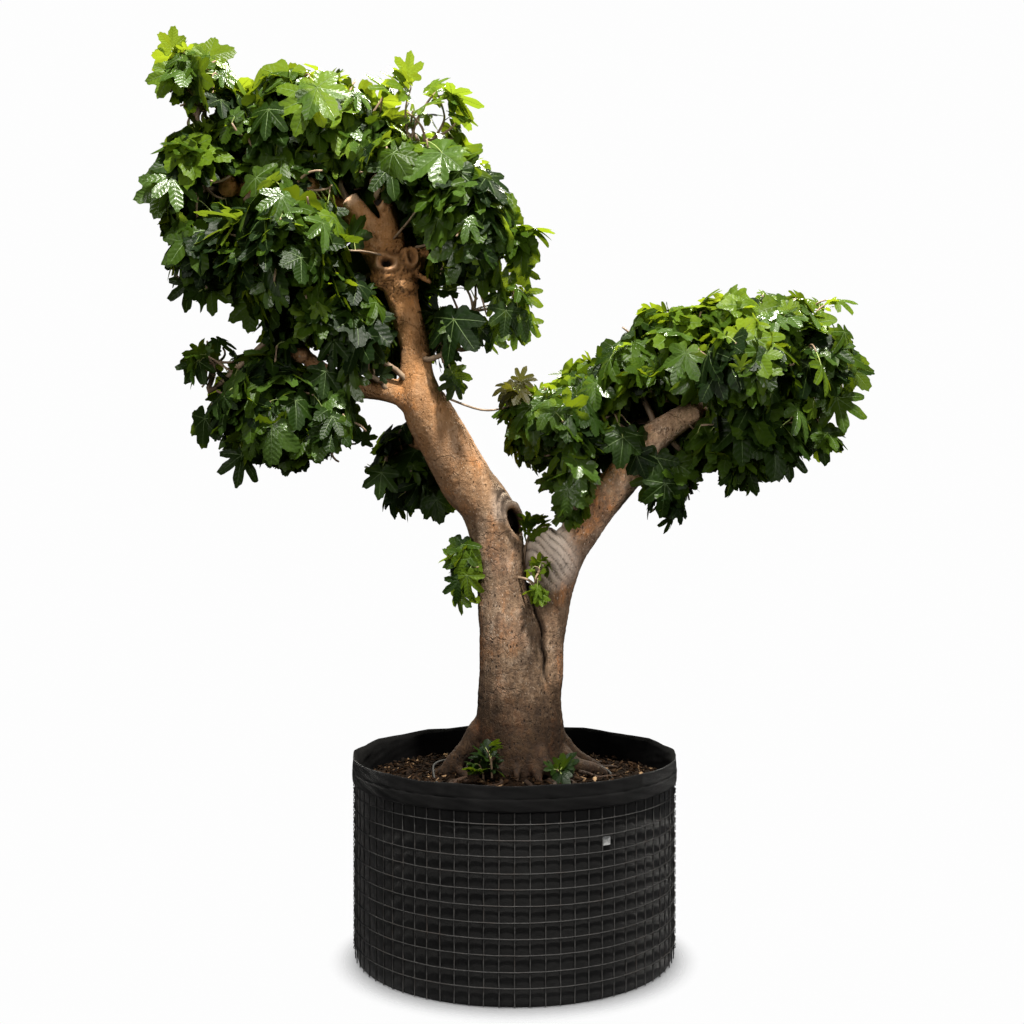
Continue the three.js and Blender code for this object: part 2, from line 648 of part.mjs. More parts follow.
function growFoliage() {
  const wood = Object.entries(clears).map(([name, solid]) => obstacle(name, solid));
  const obstacles = [...wood];
  for (const [number, mass] of MASSES.entries()) {
    mass.random = randomFrom(SEED + SEED_STEP * number);
    mass.stalk = stalkOf(mass);
    mass.shoots = [];
    mass.leaves = 0;
    const bare = growStalk(mass);
    Object.values(bare.loops).forEach((loop) => bare.skin.close(loop));
    obstacles.push(obstacle(mass.name, bare.skin.solid()));
    Object.assign(mass, growStalk(mass));
  }
  for (const mass of MASSES) {
    const [a, b, c] = mass.radii;
    const wanted = Math.max(1, Math.round(Math.PI * (a * b + b * c + c * a) / 3 / SHOOT_AREA));
    for (const name of HUB_FACES) {
      if (mass.shoots.length < wanted) placeShoot(mass, mass.loops[name], obstacles);
      else mass.skin.close(mass.loops[name]);
    }
  }
  for (let number = 0; number < LEAVES_A_SHOOT; number++) {
    for (const mass of MASSES) {
      for (const { faces, ahead } of mass.shoots) {
        placeLeaf(mass, faces[number], ahead, obstacles);
      }
    }
  }
  for (const mass of MASSES) {
    let whole = mass.skin.solid();
    for (const { solid, box } of wood) {
      if (boxesMeet(whole.boundingBox(), box)) whole = whole.subtract(solid);
    }
    solids[`foliage_${mass.name}`] = biggestBody(whole);
  }
}

// ---------------------------------------------------------------- pot

/** A turned body about the pot's axis; its profile of [radius, height] starts and ends on the axis. */
function turned(profile) {
  const points = profile.map(([radius, z]) => new THREE.Vector2(radius, z));
  return new THREE.LatheGeometry(points, POT_SIDES).rotateX(Math.PI / 2);
}

function potLiner() {
  const outer = CAGE_RADIUS - WIRE / 2 - GAP;
  const inner = outer - FABRIC;
  const cuffInner = CUFF_RADIUS - FABRIC;
  const cuffFoot = RIM_HEIGHT - CUFF_DROP;
  const fold = RIM_HEIGHT - 2 * FABRIC;
  const bend = 4; // the rounding of the rim
  const heel = 10; // the rounding of the bottom edge
  return turned([
    [0, 0], [outer - heel, 0], [outer, heel], [outer, fold], [cuffInner, fold],
    [cuffInner, cuffFoot], [CUFF_RADIUS, cuffFoot],
    [CUFF_RADIUS, RIM_HEIGHT - bend], [CUFF_RADIUS - bend, RIM_HEIGHT],
    [inner + bend, RIM_HEIGHT], [inner, RIM_HEIGHT - bend], [inner, FABRIC], [0, FABRIC],
  ]);
}

function soil() {
  const radius = CAGE_RADIUS - WIRE / 2 - FABRIC - 2 * GAP;
  const foot = FABRIC + GAP;
  const edge = SOIL_HEIGHT - SOIL_EDGE_DROP;
  const level = 0.7 * radius; // the soil is level inside this
  return turned([[0, foot], [radius, foot], [radius, edge], [level, SOIL_HEIGHT], [0, SOIL_HEIGHT]]);
}

/** The cage as one welded lattice: uprights and hoops are square bars that share their crossings. */
function wireCage() {
  const half = WIRE / 2;
  const hoopHeights = Array.from({ length: HOOPS }, (_, hoop) => FIRST_HOOP + hoop * HOOP_PITCH);
  const levels = [CAGE_FOOT, ...hoopHeights.flatMap((z) => [z - half, z + half]), CAGE_TOP];
  const coordinates = [];
  const corners = [];
  // The four corners of the upright's section at each level, by side and depth.
  for (let wire = 0; wire < POT_SIDES; wire++) {
    for (const z of levels) {
      for (const side of [-1, 1]) {
        for (const depth of [-1, 1]) {
          const angle = 2 * Math.PI * wire / POT_SIDES + side * half / CAGE_RADIUS;
          const radius = CAGE_RADIUS + depth * half;
          coordinates.push(radius * Math.sin(angle), -radius * Math.cos(angle), z);
        }
      }
    }
  }
  const at = (wire, level, right, outer) => (
    ((wire % POT_SIDES) * levels.length + level) * 4 + 2 * right + outer
  );
  const quad = (a, b, c, d) => corners.push(a, b, c, a, c, d);
  const top = levels.length - 1;
  for (let wire = 0; wire < POT_SIDES; wire++) {
    const next = wire + 1;
    quad(at(wire, 0, 0, 0), at(wire, 0, 1, 0), at(wire, 0, 1, 1), at(wire, 0, 0, 1));
    quad(at(wire, top, 0, 1), at(wire, top, 1, 1), at(wire, top, 1, 0), at(wire, top, 0, 0));
    for (let level = 0; level < top; level++) {
      const above = level + 1;
      const isHoop = level % 2 === 1;
      quad(at(wire, level, 0, 1), at(wire, level, 1, 1), at(wire, above, 1, 1), at(wire, above, 0, 1));
      quad(at(wire, level, 1, 0), at(wire, level, 0, 0), at(wire, above, 0, 0), at(wire, above, 1, 0));
      if (isHoop) {
        quad(at(wire, level, 1, 1), at(next, level, 0, 1), at(next, above, 0, 1), at(wire, above, 1, 1));
        quad(at(next, level, 0, 0), at(wire, level, 1, 0), at(wire, above, 1, 0), at(next, above, 0, 0));
        quad(at(wire, level, 1, 0), at(next, level, 0, 0), at(next, level, 0, 1), at(wire, level, 1, 1));
        quad(at(wire, above, 1, 1), at(next, above, 0, 1), at(next, above, 0, 0), at(wire, above, 1, 0));
      } else {
        quad(at(wire, level, 0, 0), at(wire, level, 0, 1), at(wire, above, 0, 1), at(wire, above, 0, 0));
        quad(at(wire, level, 1, 1), at(wire, level, 1, 0), at(wire, above, 1, 0), at(wire, above, 1, 1));
      }
    }
  }
  const geometry = new THREE.BufferGeometry();
  geometry.setAttribute('position', new THREE.Float32BufferAttribute(coordinates, 3));
  geometry.setIndex(corners);
  return geometry;
}

/** A blank plate that hangs in the wires, flat against one facet of the cage. */
function tag() {
  const plate = { width: 34, height: 30, thick: 1.5, height0: 519, turn: 31.4 };
  const facet = 360 / POT_SIDES;
  const facing = THREE.MathUtils.degToRad(facet * (Math.floor(plate.turn / facet) + 0.5));
  const face = (CAGE_RADIUS + WIRE / 2) * Math.cos(Math.PI / POT_SIDES - WIRE / 2 / CAGE_RADIUS);
  const along = face * Math.tan(THREE.MathUtils.degToRad(plate.turn) - facing);
  return new THREE.BoxGeometry(plate.width, plate.thick, plate.height)
    .translate(along, -(face + GAP + plate.thick / 2), plate.height0)
    .rotateZ(facing);
}

// ---------------------------------------------------------------- the whole

buildStems();
buildKnots();
buildBoughs();
growFoliage();

const figTree = new THREE.Group();
const pot = new THREE.Group();
pot.add(
  named('pot_liner', potLiner(), COLOURS.fabric, 0.85),
  named('wire_cage', wireCage(), COLOURS.wire, 0.5, 0.6),
  named('tag', tag(), COLOURS.tag, 0.45),
  named('soil', soil(), COLOURS.soil, 0.95),
);
const tree = new THREE.Group();
for (const [name, solid] of Object.entries(solids)) {
  const isLeafy = name.startsWith('foliage_');
  tree.add(named(name, geometryFromSolid(solid), isLeafy ? COLOURS.leaf : COLOURS.bark, isLeafy ? 0.5 : 0.85));
}
figTree.add(pot, tree);

export default figTree;
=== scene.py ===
"""A fig tree with two leaning stems in a round fabric pot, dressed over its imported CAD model.

Metres, +Z up, the front is -Y and the origin is the middle of the pot's underside.
"""

import math

import bpy
import numpy as np
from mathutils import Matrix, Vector, noise


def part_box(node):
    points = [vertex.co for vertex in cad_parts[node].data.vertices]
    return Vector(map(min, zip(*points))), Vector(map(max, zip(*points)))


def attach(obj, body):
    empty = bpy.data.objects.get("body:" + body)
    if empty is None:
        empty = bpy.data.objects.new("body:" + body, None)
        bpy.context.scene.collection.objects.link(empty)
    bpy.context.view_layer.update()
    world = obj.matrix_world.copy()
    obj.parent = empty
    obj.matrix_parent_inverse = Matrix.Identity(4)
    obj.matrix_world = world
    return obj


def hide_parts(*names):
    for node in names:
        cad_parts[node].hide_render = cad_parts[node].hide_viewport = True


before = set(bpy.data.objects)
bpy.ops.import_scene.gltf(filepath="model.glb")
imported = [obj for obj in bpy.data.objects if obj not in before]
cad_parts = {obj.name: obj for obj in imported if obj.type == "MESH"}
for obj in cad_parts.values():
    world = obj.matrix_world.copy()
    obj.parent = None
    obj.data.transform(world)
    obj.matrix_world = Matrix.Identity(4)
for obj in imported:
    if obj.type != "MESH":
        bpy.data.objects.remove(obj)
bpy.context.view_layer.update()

# ---------------------------------------------------------------- named sizes, as in the source

MM = 0.001
WIRE_PITCH = 0.05
WIRES_ROUND = 72
CAGE_RADIUS = WIRE_PITCH * WIRES_ROUND / (2 * math.pi)
WIRE = 0.004
UPRIGHT_RADIUS = 0.0019
HOOP_RADIUS = 0.0020
LACE_RADIUS = 0.0017
HOSE_RADIUS = 0.0042
CAGE_FOOT = 0.002
CAGE_TOP = 0.660
FIRST_HOOP = 0.063
HOOP_PITCH = 0.053
HOOPS = 12
RIM_HEIGHT = 0.717
CUFF_RADIUS = 0.586
CUFF_DROP = 0.086
CUFF_COLUMNS = 360
SOIL_HEIGHT = 0.630
SOIL_RADIUS = 0.564
WOOD_VOXEL = 0.0064
SPHERE_STEP = 0.022  # between the spheres that stand for a limb

# The camera fitted to the photograph: where its eye is, and the rest in the photograph's pixels.
EYE = np.array((0.0, -5.0, 1.65))
FOCAL_LENGTH = 1385
PHOTO_SIDE = 1024
PHOTO_MIDDLE = (514.5, 494.5)

FORK_HEIGHT = 1.310
LEADER_HEIGHT = 2.010
TRUNK_FOOT = (0.030, 0.072)

# Stations of the limbs: x, y, z and radius in millimetres.
LEFT_STEM = [
    (-20, 70, 600, 132), (-18, 70, 900, 121), (-15, 70, 1117, 115), (-37, 70, 1264, 95), (-55, 70, 1410, 91),
    (-96, 66, 1593, 98), (-183, 50, 1710, 98), (-312, 10, 1945, 87), (-346, 0, 2045, 69), (-360, 0, 2180, 52),
    (-400, 0, 2330, 55), (-442, 0, 2489, 68),
]
RIGHT_STEM = [
    (92, 73, 600, 100), (90, 73, 900, 86), (98, 73, 1080, 78), (134, 72, 1264, 70), (181, 68, 1410, 70),
    (252, 50, 1539, 69), (418, 15, 1750, 67), (496, 0, 1847, 57), (632, -10, 1944, 43),
]
CORE = [(27, 72, 600, 160), (24, 72, 700, 152), (18, 74, 830, 144), (20, 84, 960, 116), (40, 96, 1100, 84),
        (58, 104, 1220, 62), (66, 106, 1320, 40)]
# Low roots all round: direction in degrees from +X, reach from the trunk's middle and radius, in millimetres.
ROOTS = [
    (212, 262, 26), (238, 216, 20), (263, 194, 12), (287, 214, 18), (310, 200, 12), (8, 280, 26), (38, 285, 40),
    (66, 250, 28), (92, 270, 42), (118, 250, 28), (140, 290, 42), (164, 270, 26),
]
# The roots that show: stations as for the limbs.
SHOWN_ROOTS = [
    [(-30, 74, 880, 58), (-112, 66, 800, 44), (-172, 56, 722, 37), (-226, 48, 660, 32), (-262, 44, 622, 22)],
    [(110, 66, 760, 44), (166, 50, 704, 34), (214, 46, 668, 27), (268, 54, 648, 22), (322, 66, 630, 17),
     (352, 76, 608, 10)],
    [(118, 80, 800, 40), (176, 84, 742, 27), (222, 96, 694, 22), (280, 122, 655, 18), (345, 150, 628, 11)],
    [(86, -30, 740, 34), (108, -74, 690, 24), (138, -98, 658, 19), (180, -110, 640, 15), (232, -116, 620, 8)],
    [(-196, 20, 640, 18), (-160, -60, 640, 15), (-120, -110, 634, 13), (-80, -140, 622, 8)],
]
BOUGHS = {
    "bough_upper_left": [(-430, 0, 2420, 60), (-500, -8, 2535, 55), (-584, -20, 2684, 45)],
    "bough_far_left": [
        (-420, 20, 2440, 36), (-560, 42, 2640, 37), (-776, 10, 2744, 33), (-1016, -20, 2745, 24),
    ],
    "bough_top": [(-436, 4, 2440, 40), (-450, 15, 2610, 36), (-479, 40, 2849, 20)],
    "bough_back_left": [(-400, 10, 2330, 40), (-405, 150, 2470, 34), (-385, 265, 2640, 24)],
    "bough_upper_right": [(-425, -10, 2410, 26), (-340, -14, 2500, 19), (-220, -30, 2590, 13)],
    "bough_low_left": [
        (-310, 5, 1950, 62), (-420, -5, 2016, 47), (-626, -30, 2054, 35), (-767, -45, 2160, 25),
    ],
    "bough_low_left_fork": [(-585, -26, 2045, 31), (-690, -46, 2020, 28), (-762, -56, 1985, 25)],
    "bough_behind": [(-262, 22, 1862, 50), (-318, 140, 1838, 33), (-387, 232, 1850, 24)],
    "bough_right_end": [(545, -5, 1885, 38), (689, 26, 1976, 33), (835, 22, 2020, 28), (990, 20, 2080, 21)],
    "bough_right_stub": [(411, 15, 1760, 44), (528, -10, 1738, 29)],
    "bough_right_inner": [(336, 34, 1641, 44), (272, 70, 1720, 36), (215, 84, 1800, 27)],
    "bough_right_back": [(460, 6, 1810, 44), (540, 150, 1925, 34), (640, 262, 2030, 23)],
}
KNOT = ((-17, 34, 1568), (48, 50, 62))
BURL = ((120, 46, 1430), (84, 84, 98))
HEAD = ((-428, -2, 2440), (82, 78, 74))
HEAD_LUMPS = [
    ((-370, -20, 2488), (48, 46, 50)), ((-450, -20, 2560), (56, 48, 56)), ((-395, -40, 2400), (44, 40, 40)),
    ((-1018, -62, 2748), (38, 34, 42)), ((-745, -56, 2752), (52, 38, 32)), ((-764, -60, 2152), (40, 34, 32)),
    ((-806, -66, 1948), (34, 30, 34)), ((628, -20, 1934), (50, 50, 46)),
]
# Cut and broken stubs: stations as for the limbs.
STUBS = [
    [(-448, -16, 2540, 40), (-500, -34, 2600, 37), (-548, -46, 2652, 34), (-590, -56, 2702, 33)],
    [(-432, -10, 2580, 26), (-452, -50, 2640, 24), (-480, -92, 2700, 24)],
    [(-500, -20, 2500, 14), (-560, -50, 2530, 10), (-604, -70, 2590, 7)],
    [(-350, -30, 2440, 13), (-318, -56, 2418, 10), (-296, -66, 2404, 7)],
    [(-372, -10, 2200, 13), (-330, -40, 2160, 11), (-312, -56, 2148, 9)],
]

# The hollow knot's place and facing in metres.
KNOT_HOLLOW = ((0.010, -0.020, 1.553), (0.26, -0.96, 0.0))
# Hollows of the leader's head: place and facing in metres, half width, half height, depth and painted shade.
HEAD_HOLLOWS = [((-0.455, -0.070, 2.478), (0.05, -1, 0.1), 0.023, 0.018, 0.040, 1.0),
                ((-0.366, -0.062, 2.500), (0.35, -1, 0.0), 0.014, 0.022, 0.010, 0.5),
                ((-0.482, -0.112, 2.702), (0.0, -1, 0.5), 0.017, 0.017, 0.018, 1.0)]

# Each mass of foliage: the limb it grows on, where along it, and the ellipsoid that it keeps inside.
MASSES = {
    "left_tip": ("bough_far_left", 0.93, (-1118, -50, 3072), (165, 180, 195)),
    "left_end": ("bough_far_left", 1, (-1130, -40, 2765), (200, 235, 220)),
    "left_hang": ("bough_far_left", 0.88, (-1075, -70, 2485), (200, 215, 195)),
    "left_top": ("bough_far_left", 0.66, (-790, 20, 2985), (250, 250, 212)),
    "left_front": ("bough_far_left", 0.56, (-790, -190, 2490), (245, 220, 265)),
    "left_back": ("bough_far_left", 0.74, (-945, 330, 2740), (280, 235, 300)),
    "crown_middle": ("bough_upper_left", 1, (-590, 70, 2985), (200, 210, 225)),
    "crown_top": ("bough_top", 1, (-330, 0, 2905), (215, 225, 195)),
    "crown_right": ("bough_upper_right", 1, (-172, -60, 2610), (220, 250, 270)),
    "crown_back": ("bough_back_left", 1, (-300, 340, 2770), (285, 235, 290)),
    "crown_right_low": ("leader", 0.4, (-170, 50, 2270), (200, 205, 215)),
    "crown_back_low": ("bough_back_left", 0.5, (-450, 360, 2350), (275, 205, 240)),
    "low_front": ("bough_low_left", 0.62, (-665, -50, 2265), (275, 200, 190)),
    "low_left": ("bough_low_left_fork", 1, (-865, -50, 1965), (250, 245, 270)),
    "low_middle": ("bough_low_left_fork", 0.6, (-655, -70, 1885), (170, 185, 165)),
    "low_left_tip": ("bough_low_left", 1, (-1085, 0, 2107), (130, 135, 135)),
    "behind": ("bough_behind", 1, (-372, 290, 1765), (200, 195, 230)),
    "trunk_tuft": ("bough_left", 0.2, (-186, 30, 1360), (80, 84, 118)),
    "crotch_tuft": ("bough_left", 0.06, (84, -46, 1340), (52, 56, 84)),
    "right_inner": ("bough_right_inner", 1, (160, -10, 1900), (235, 240, 200)),
    "right_tuft": ("bough_right", 0.45, (205, -85, 1655), (86, 84, 116)),
    "right_middle": ("bough_right", 0.8, (490, -30, 2120), (250, 240, 205)),
    "right_top": ("bough_right_end", 0.6, (860, 0, 2225), (280, 255, 195)),
    "right_tip": ("bough_right_end", 1, (1070, 0, 2095), (185, 225, 235)),
    "right_low": ("bough_right_end", 0.5, (800, -60, 1845), (285, 245, 205)),
    "right_hang": ("bough_right_stub", 1, (556, -20, 1655), (132, 135, 155)),
    "right_back": ("bough_right_back", 1, (700, 350, 2100), (300, 205, 250)),
    "right_back_left": ("bough_right_back", 0.5, (300, 320, 1985), (230, 195, 200)),
    "right_front": ("bough_right_end", 0.3, (785, -285, 2085), (215, 175, 185)),
}
# Sprays that close the crown between the masses, each with the same kind of figures.
BETWEEN = {
    "over_far_left": ("bough_far_left", 0.5, (-775, -130, 2725), (170, 110, 130)),
    "by_the_head": ("bough_upper_left", 0.8, (-680, 60, 2790), (150, 140, 150)),
    "over_top_bough": ("bough_top", 0.7, (-455, -130, 2790), (130, 100, 140)),
    "left_of_leader": ("bough_low_left", 0.1, (-560, -90, 2290), (110, 90, 150)),
    "right_of_leader": ("leader", 0.25, (-215, -60, 2215), (110, 110, 150)),
    "over_low_left": ("bough_low_left", 0.3, (-520, -100, 2095), (120, 80, 100)),
    "right_ridge": ("bough_right_end", 0.25, (620, -60, 2215), (170, 150, 125)),
    "under_right": ("bough_right_end", 0.05, (640, 90, 1900), (150, 120, 130)),
    "over_right_inner": ("bough_right", 0.72, (330, 30, 2030), (150, 150, 110)),
    "left_middle": ("bough_far_left", 0.8, (-950, -60, 2915), (130, 150, 130)),
    "behind_leader": ("bough_upper_left", 0.2, (-600, 130, 2470), (120, 90, 150)),
    "behind_fork": ("bough_upper_left", 0.6, (-520, 130, 2690), (120, 80, 120)),
}
EVERY_MASS = {**MASSES, **BETWEEN}
SEED = 4100
SEED_STEP = 17
# Radii of a mass's wood: the stalk's foot, the shoots' feet and tips, and the twigs' feet and tips.
USUAL_WOOD = (0.013, 0.009, 0.0062, 0.0058, 0.0036)
SMALL_WOOD = (0.00585, 0.0045, 0.0032, 0.0030, 0.0022)
SMALL_MASS = 0.12  # a mass whose least radius is below this is a tuft
GOLDEN_ANGLE = math.radians(137.508)


# ---------------------------------------------------------------- meshes

def unit(vectors):
    """Vectors of length 1."""
    vectors = np.asarray(vectors, float)
    return vectors / np.maximum(np.linalg.norm(vectors, axis=-1, keepdims=True), 1e-12)


def smoothstep(low, high, x):
    """0 at low and 1 at high, and smooth between."""
    t = np.clip((x - low) / (high - low), 0, 1)
    return t * t * (3 - 2 * t)


def bell(x, middle, width):
    """1 at the middle, and 1/e at a width from it."""
    return np.exp(-(((x - middle) / width) ** 2))


def turns(count):
    """Angles at even steps round a circle."""
    return np.arange(count) * 2 * math.pi / count


def round_axis(radius, angle, height):
    """Points round the pot's axis, with angles from the front."""
    return np.stack(np.broadcast_arrays(radius * np.sin(angle), -radius * np.cos(angle), height), -1)


def copies(faces, count, step):
    """The faces of many copies of one form, with so many vertices each."""
    return (faces[None] + (np.arange(count) * step)[:, None, None]).reshape(-1, faces.shape[1])


class Heap:
    """The vertices and faces of one piece, gathered part by part."""

    def __init__(self):
        self.vertices, self.faces, self.count = [], [], 0

    def add(self, vertices, *faces):
        vertices = np.asarray(vertices, float).reshape(-1, 3)
        self.vertices.append(vertices)
        for some in faces:
            self.faces.append(np.asarray(some, int) + self.count)
        self.count += len(vertices)

    def mesh(self, name):
        mesh = bpy.data.meshes.new(name)
        vertices = np.concatenate(self.vertices).astype(np.float32)
        sizes = np.concatenate([np.full(len(some), some.shape[1]) for some in self.faces])
        corners = np.concatenate([some.ravel() for some in self.faces]).astype(np.int32)
        starts = np.concatenate([[0], np.cumsum(sizes)[:-1]]).astype(np.int32)
        mesh.vertices.add(len(vertices))
        mesh.vertices.foreach_set("co", vertices.ravel())
        mesh.loops.add(len(corners))
        mesh.loops.foreach_set("vertex_index", corners)
        mesh.polygons.add(len(sizes))
        mesh.polygons.foreach_set("loop_start", starts)
        mesh.polygons.foreach_set("use_smooth", np.ones(len(sizes), bool))
        mesh.update(calc_edges=True)
        mesh.validate()
        return mesh


def shown(name, data):
    """A new object in the scene."""
    made = bpy.data.objects.new(name, data)
    bpy.context.scene.collection.objects.link(made)
    return made


def piece(name, form, material, replaces=()):
    """A shown piece of the object, from a heap or a mesh, riding on its one body."""
    mesh = form.mesh(name) if isinstance(form, Heap) else form
    made = shown(name, mesh)
    mesh.materials.clear()
    mesh.materials.append(material)
    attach(made, "root")
    if replaces:
        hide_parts(*replaces)


def corner_vertices(mesh):
    """The vertex of each face's corner."""
    corners = np.empty(len(mesh.loops), np.int32)
    mesh.loops.foreach_get("vertex_index", corners)
    return corners


def set_uvs(mesh, name, places):
    """A UV for each face's corner."""
    mesh.uv_layers.new(name=name).data.foreach_set("uv", places.astype(np.float32).ravel())


def set_shares(mesh, name, shares):
    """A number from 0 to 1 for each vertex, which a material reads by its name."""
    mesh.attributes.new(name, "FLOAT", "POINT").data.foreach_set("value", shares.astype(np.float32))


def curve_through(stations, u):
    """Points of a smooth curve through stations, as the source's limbs run."""
    points = np.asarray(stations, float)
    last = len(points) - 1
    at = np.clip(np.asarray(u, float), 0, 1) * last
    i = np.minimum(at.astype(int), last - 1)
    t = (at - i)[:, None]
    ends = np.vstack([2 * points[0] - points[1], points, 2 * points[-1] - points[-2]])
    before, start, end, after = (ends[i + k] for k in range(4))
    out, back = 0.5 * (end - before), 0.5 * (after - start)
    cubic = 2 * start - 2 * end + out + back
    square = 3 * end - 3 * start - 2 * out - back
    return cubic * t**3 + square * t**2 + out * t + start


def carried_frames(path):
    """Two directions square to a path at each point, carried along without twist."""
    along = unit(np.gradient(path, axis=0))
    side = np.zeros_like(path)
    side[0] = unit(np.cross(along[0], (0.31, 0.9, 0.17)))
    for i in range(1, len(path)):
        side[i] = unit(side[i - 1] - along[i] * (side[i - 1] @ along[i]))
    return side, np.cross(along, side)


def grid_faces(rows, columns, closed):
    """Quads of a grid of vertices, row by row; closed joins each row's last column to its first."""
    r, c = np.meshgrid(np.arange(rows - 1), np.arange(columns if closed else columns - 1), indexing="ij")
    d = (c + 1) % columns
    low, high = r * columns, (r + 1) * columns
    return np.stack([low + c, low + d, high + d, high + c], -1).reshape(-1, 4)


def add_limb(heap, path, radii, sides, wobble, seed, rate=0.22):
    """A closed tube with rounded ends; wobble makes its section and its thickness uneven."""
    side, up = carried_frames(path)
    angles = turns(sides)
    ring = side[:, None] * np.cos(angles)[None, :, None] + up[:, None] * np.sin(angles)[None, :, None]
    scale = np.array([[
        1 + wobble * noise.noise(Vector((math.cos(a) * 0.9, math.sin(a) * 0.9, k * rate + 7.7 * seed)))
        for a in angles
    ] for k in range(len(path))])
    body = path[:, None] + ring * (radii[:, None] * scale)[..., None]
    round_ends = [
        path[end] + unit(path[end] - path[next_]) * radii[end] * 0.25 for end, next_ in ((0, 1), (-1, -2))
    ]
    first, low = np.arange(sides), len(path) * sides
    high, top = low + 1, low - sides
    caps = np.vstack([
        np.stack([np.full(sides, low), (first + 1) % sides, first], -1),
        np.stack([np.full(sides, high), top + first, top + (first + 1) % sides], -1),
    ])
    heap.add(np.vstack([body.reshape(-1, 3), *round_ends]), grid_faces(len(path), sides, True), caps)


def add_tubes(heap, paths, radius, sides):
    """Many thin open tubes at once: paths are (tubes, points, 3), radius one number or (tubes, points)."""
    count, points, _ = paths.shape
    along = unit(np.gradient(paths, axis=1))
    reference = np.where(np.abs(along[:, :1, 2:3]) < 0.8, [[[0.0, 0.0, 1.0]]], [[[1.0, 0.0, 0.0]]])
    side = unit(np.cross(along, reference + np.zeros_like(along)))
    up = np.cross(along, side)
    angles = turns(sides)
    ring = side[:, :, None] * np.cos(angles)[:, None] + up[:, :, None] * np.sin(angles)[:, None]
    radii = np.broadcast_to(radius, (count, points))
    heap.add(paths[:, :, None] + ring * radii[:, :, None, None],
             copies(grid_faces(points, sides, True), count, points * sides))


# ---------------------------------------------------------------- materials

class Nodes:
    """A node tree whose nodes are added with short calls."""

    def __init__(self, tree):
        self.tree = tree

    def node(self, kind, inputs=(), **settings):
        made = self.tree.nodes.new(kind)
        for key, value in settings.items():
            setattr(made, key, value)
        for key, value in dict(inputs).items():
            self.put(made.inputs[key], value)
        return made

    def put(self, socket, value):
        if isinstance(value, bpy.types.NodeSocket):
            self.tree.links.new(value, socket)
        else:
            socket.default_value = value

    def part(self, vector, axis):
        return self.node("ShaderNodeSeparateXYZ", {0: vector}).outputs[axis]

    def span(self, value, low, high, **settings):
        """0 at low and 1 at high."""
        limits = {"Value": value, "From Min": low, "From Max": high}
        return self.node("ShaderNodeMapRange", limits, **settings).outputs[0]

    def ramp(self, value, *stops):
        """Greys or colours at places of a ramp."""
        made = self.node("ShaderNodeValToRGB", {"Fac": value})
        elements = made.color_ramp.elements
        while len(elements) < len(stops):
            elements.new(0.5)
        for element, (at, colour) in zip(elements, stops):
            element.position = at
            element.color = (*colour, 1) if isinstance(colour, tuple) else (colour, colour, colour, 1)
        return made.outputs["Color"]

    def both(self, share, first, second):
        """Two shaders, the second by its share."""
        inputs = {0: share, 1: first.outputs[0], 2: second.outputs[0]}
        return self.node("ShaderNodeMixShader", inputs).outputs[0]


class Paint(Nodes):
    """A Principled material whose patterns lie in the object's own coordinates."""

    def __init__(self, name, **values):
        self.material = bpy.data.materials.new(name)
        self.material.use_nodes = True
        super().__init__(self.material.node_tree)
        self.shader = self.tree.nodes["Principled BSDF"]
        self.place = self.node("ShaderNodeTexCoord").outputs["Object"]
        for key, value in values.items():
            self.shader.inputs[key.replace("_", " ")].default_value = value

    def noise(self, scale, detail, roughness, stretch=(1, 1, 1), distortion=0.0):
        at = self.node("ShaderNodeMapping", {"Vector": self.place, "Scale": stretch}).outputs[0]
        return self.node("ShaderNodeTexNoise", {
            "Vector": at, "Scale": scale, "Detail": detail, "Roughness": roughness, "Distortion": distortion,
        }).outputs["Fac"]

    def cells(self, scale, stretch, feature="F1"):
        at = self.node("ShaderNodeMapping", {"Vector": self.place, "Scale": stretch}).outputs[0]
        cells = self.node("ShaderNodeTexVoronoi", {"Vector": at, "Scale": scale}, feature=feature)
        return cells.outputs["Distance"]

    def waves(self, scale, distortion, detail, detail_scale, direction="Z", place=None):
        return self.node("ShaderNodeTexWave", {
            "Vector": place or self.place, "Scale": scale, "Distortion": distortion, "Detail": detail,
            "Detail Scale": detail_scale,
        }, bands_direction=direction).outputs["Fac"]

    def mix(self, share, first, second, blend="MIX"):
        made = self.node("ShaderNodeMix", data_type="RGBA", blend_type=blend)
        for socket, value in zip((made.inputs[0], made.inputs[6], made.inputs[7]), (share, first, second)):
            self.put(socket, (*value, 1) if isinstance(value, tuple) else value)
        return made.outputs[2]

    def over(self, under, colour, pattern, *stops):
        """A colour over another, by a pattern whose ramp gives its share."""
        return self.mix(self.ramp(pattern, *stops), under, colour)

    def sum(self, *terms):
        """The sum of (value, weight) pairs."""
        total = None
        for value, weight in terms:
            part = self.node("ShaderNodeMath", {0: value, 1: weight}, operation="MULTIPLY").outputs[0]
            if total is not None:
                part = self.node("ShaderNodeMath", {0: total, 1: part}, operation="ADD").outputs[0]
            total = part
        return total

    def surface(self, shader):
        self.put(self.tree.nodes["Material Output"].inputs["Surface"], shader)

    def done(self, colour, roughness, height, distance, strength=1.0):
        """The finished material: colour, roughness as (pattern, low, high) and the relief's height."""
        pattern, low, high = roughness
        rough = self.node("ShaderNodeMapRange", {"Value": pattern, "To Min": low, "To Max": high})
        bump = self.node("ShaderNodeBump", {"Height": height, "Distance": distance, "Strength": strength})
        sockets = {"Base Color": colour, "Roughness": rough.outputs[0], "Normal": bump.outputs[0]}
        for name, value in sockets.items():
            self.put(self.shader.inputs[name], value)
        return self.material


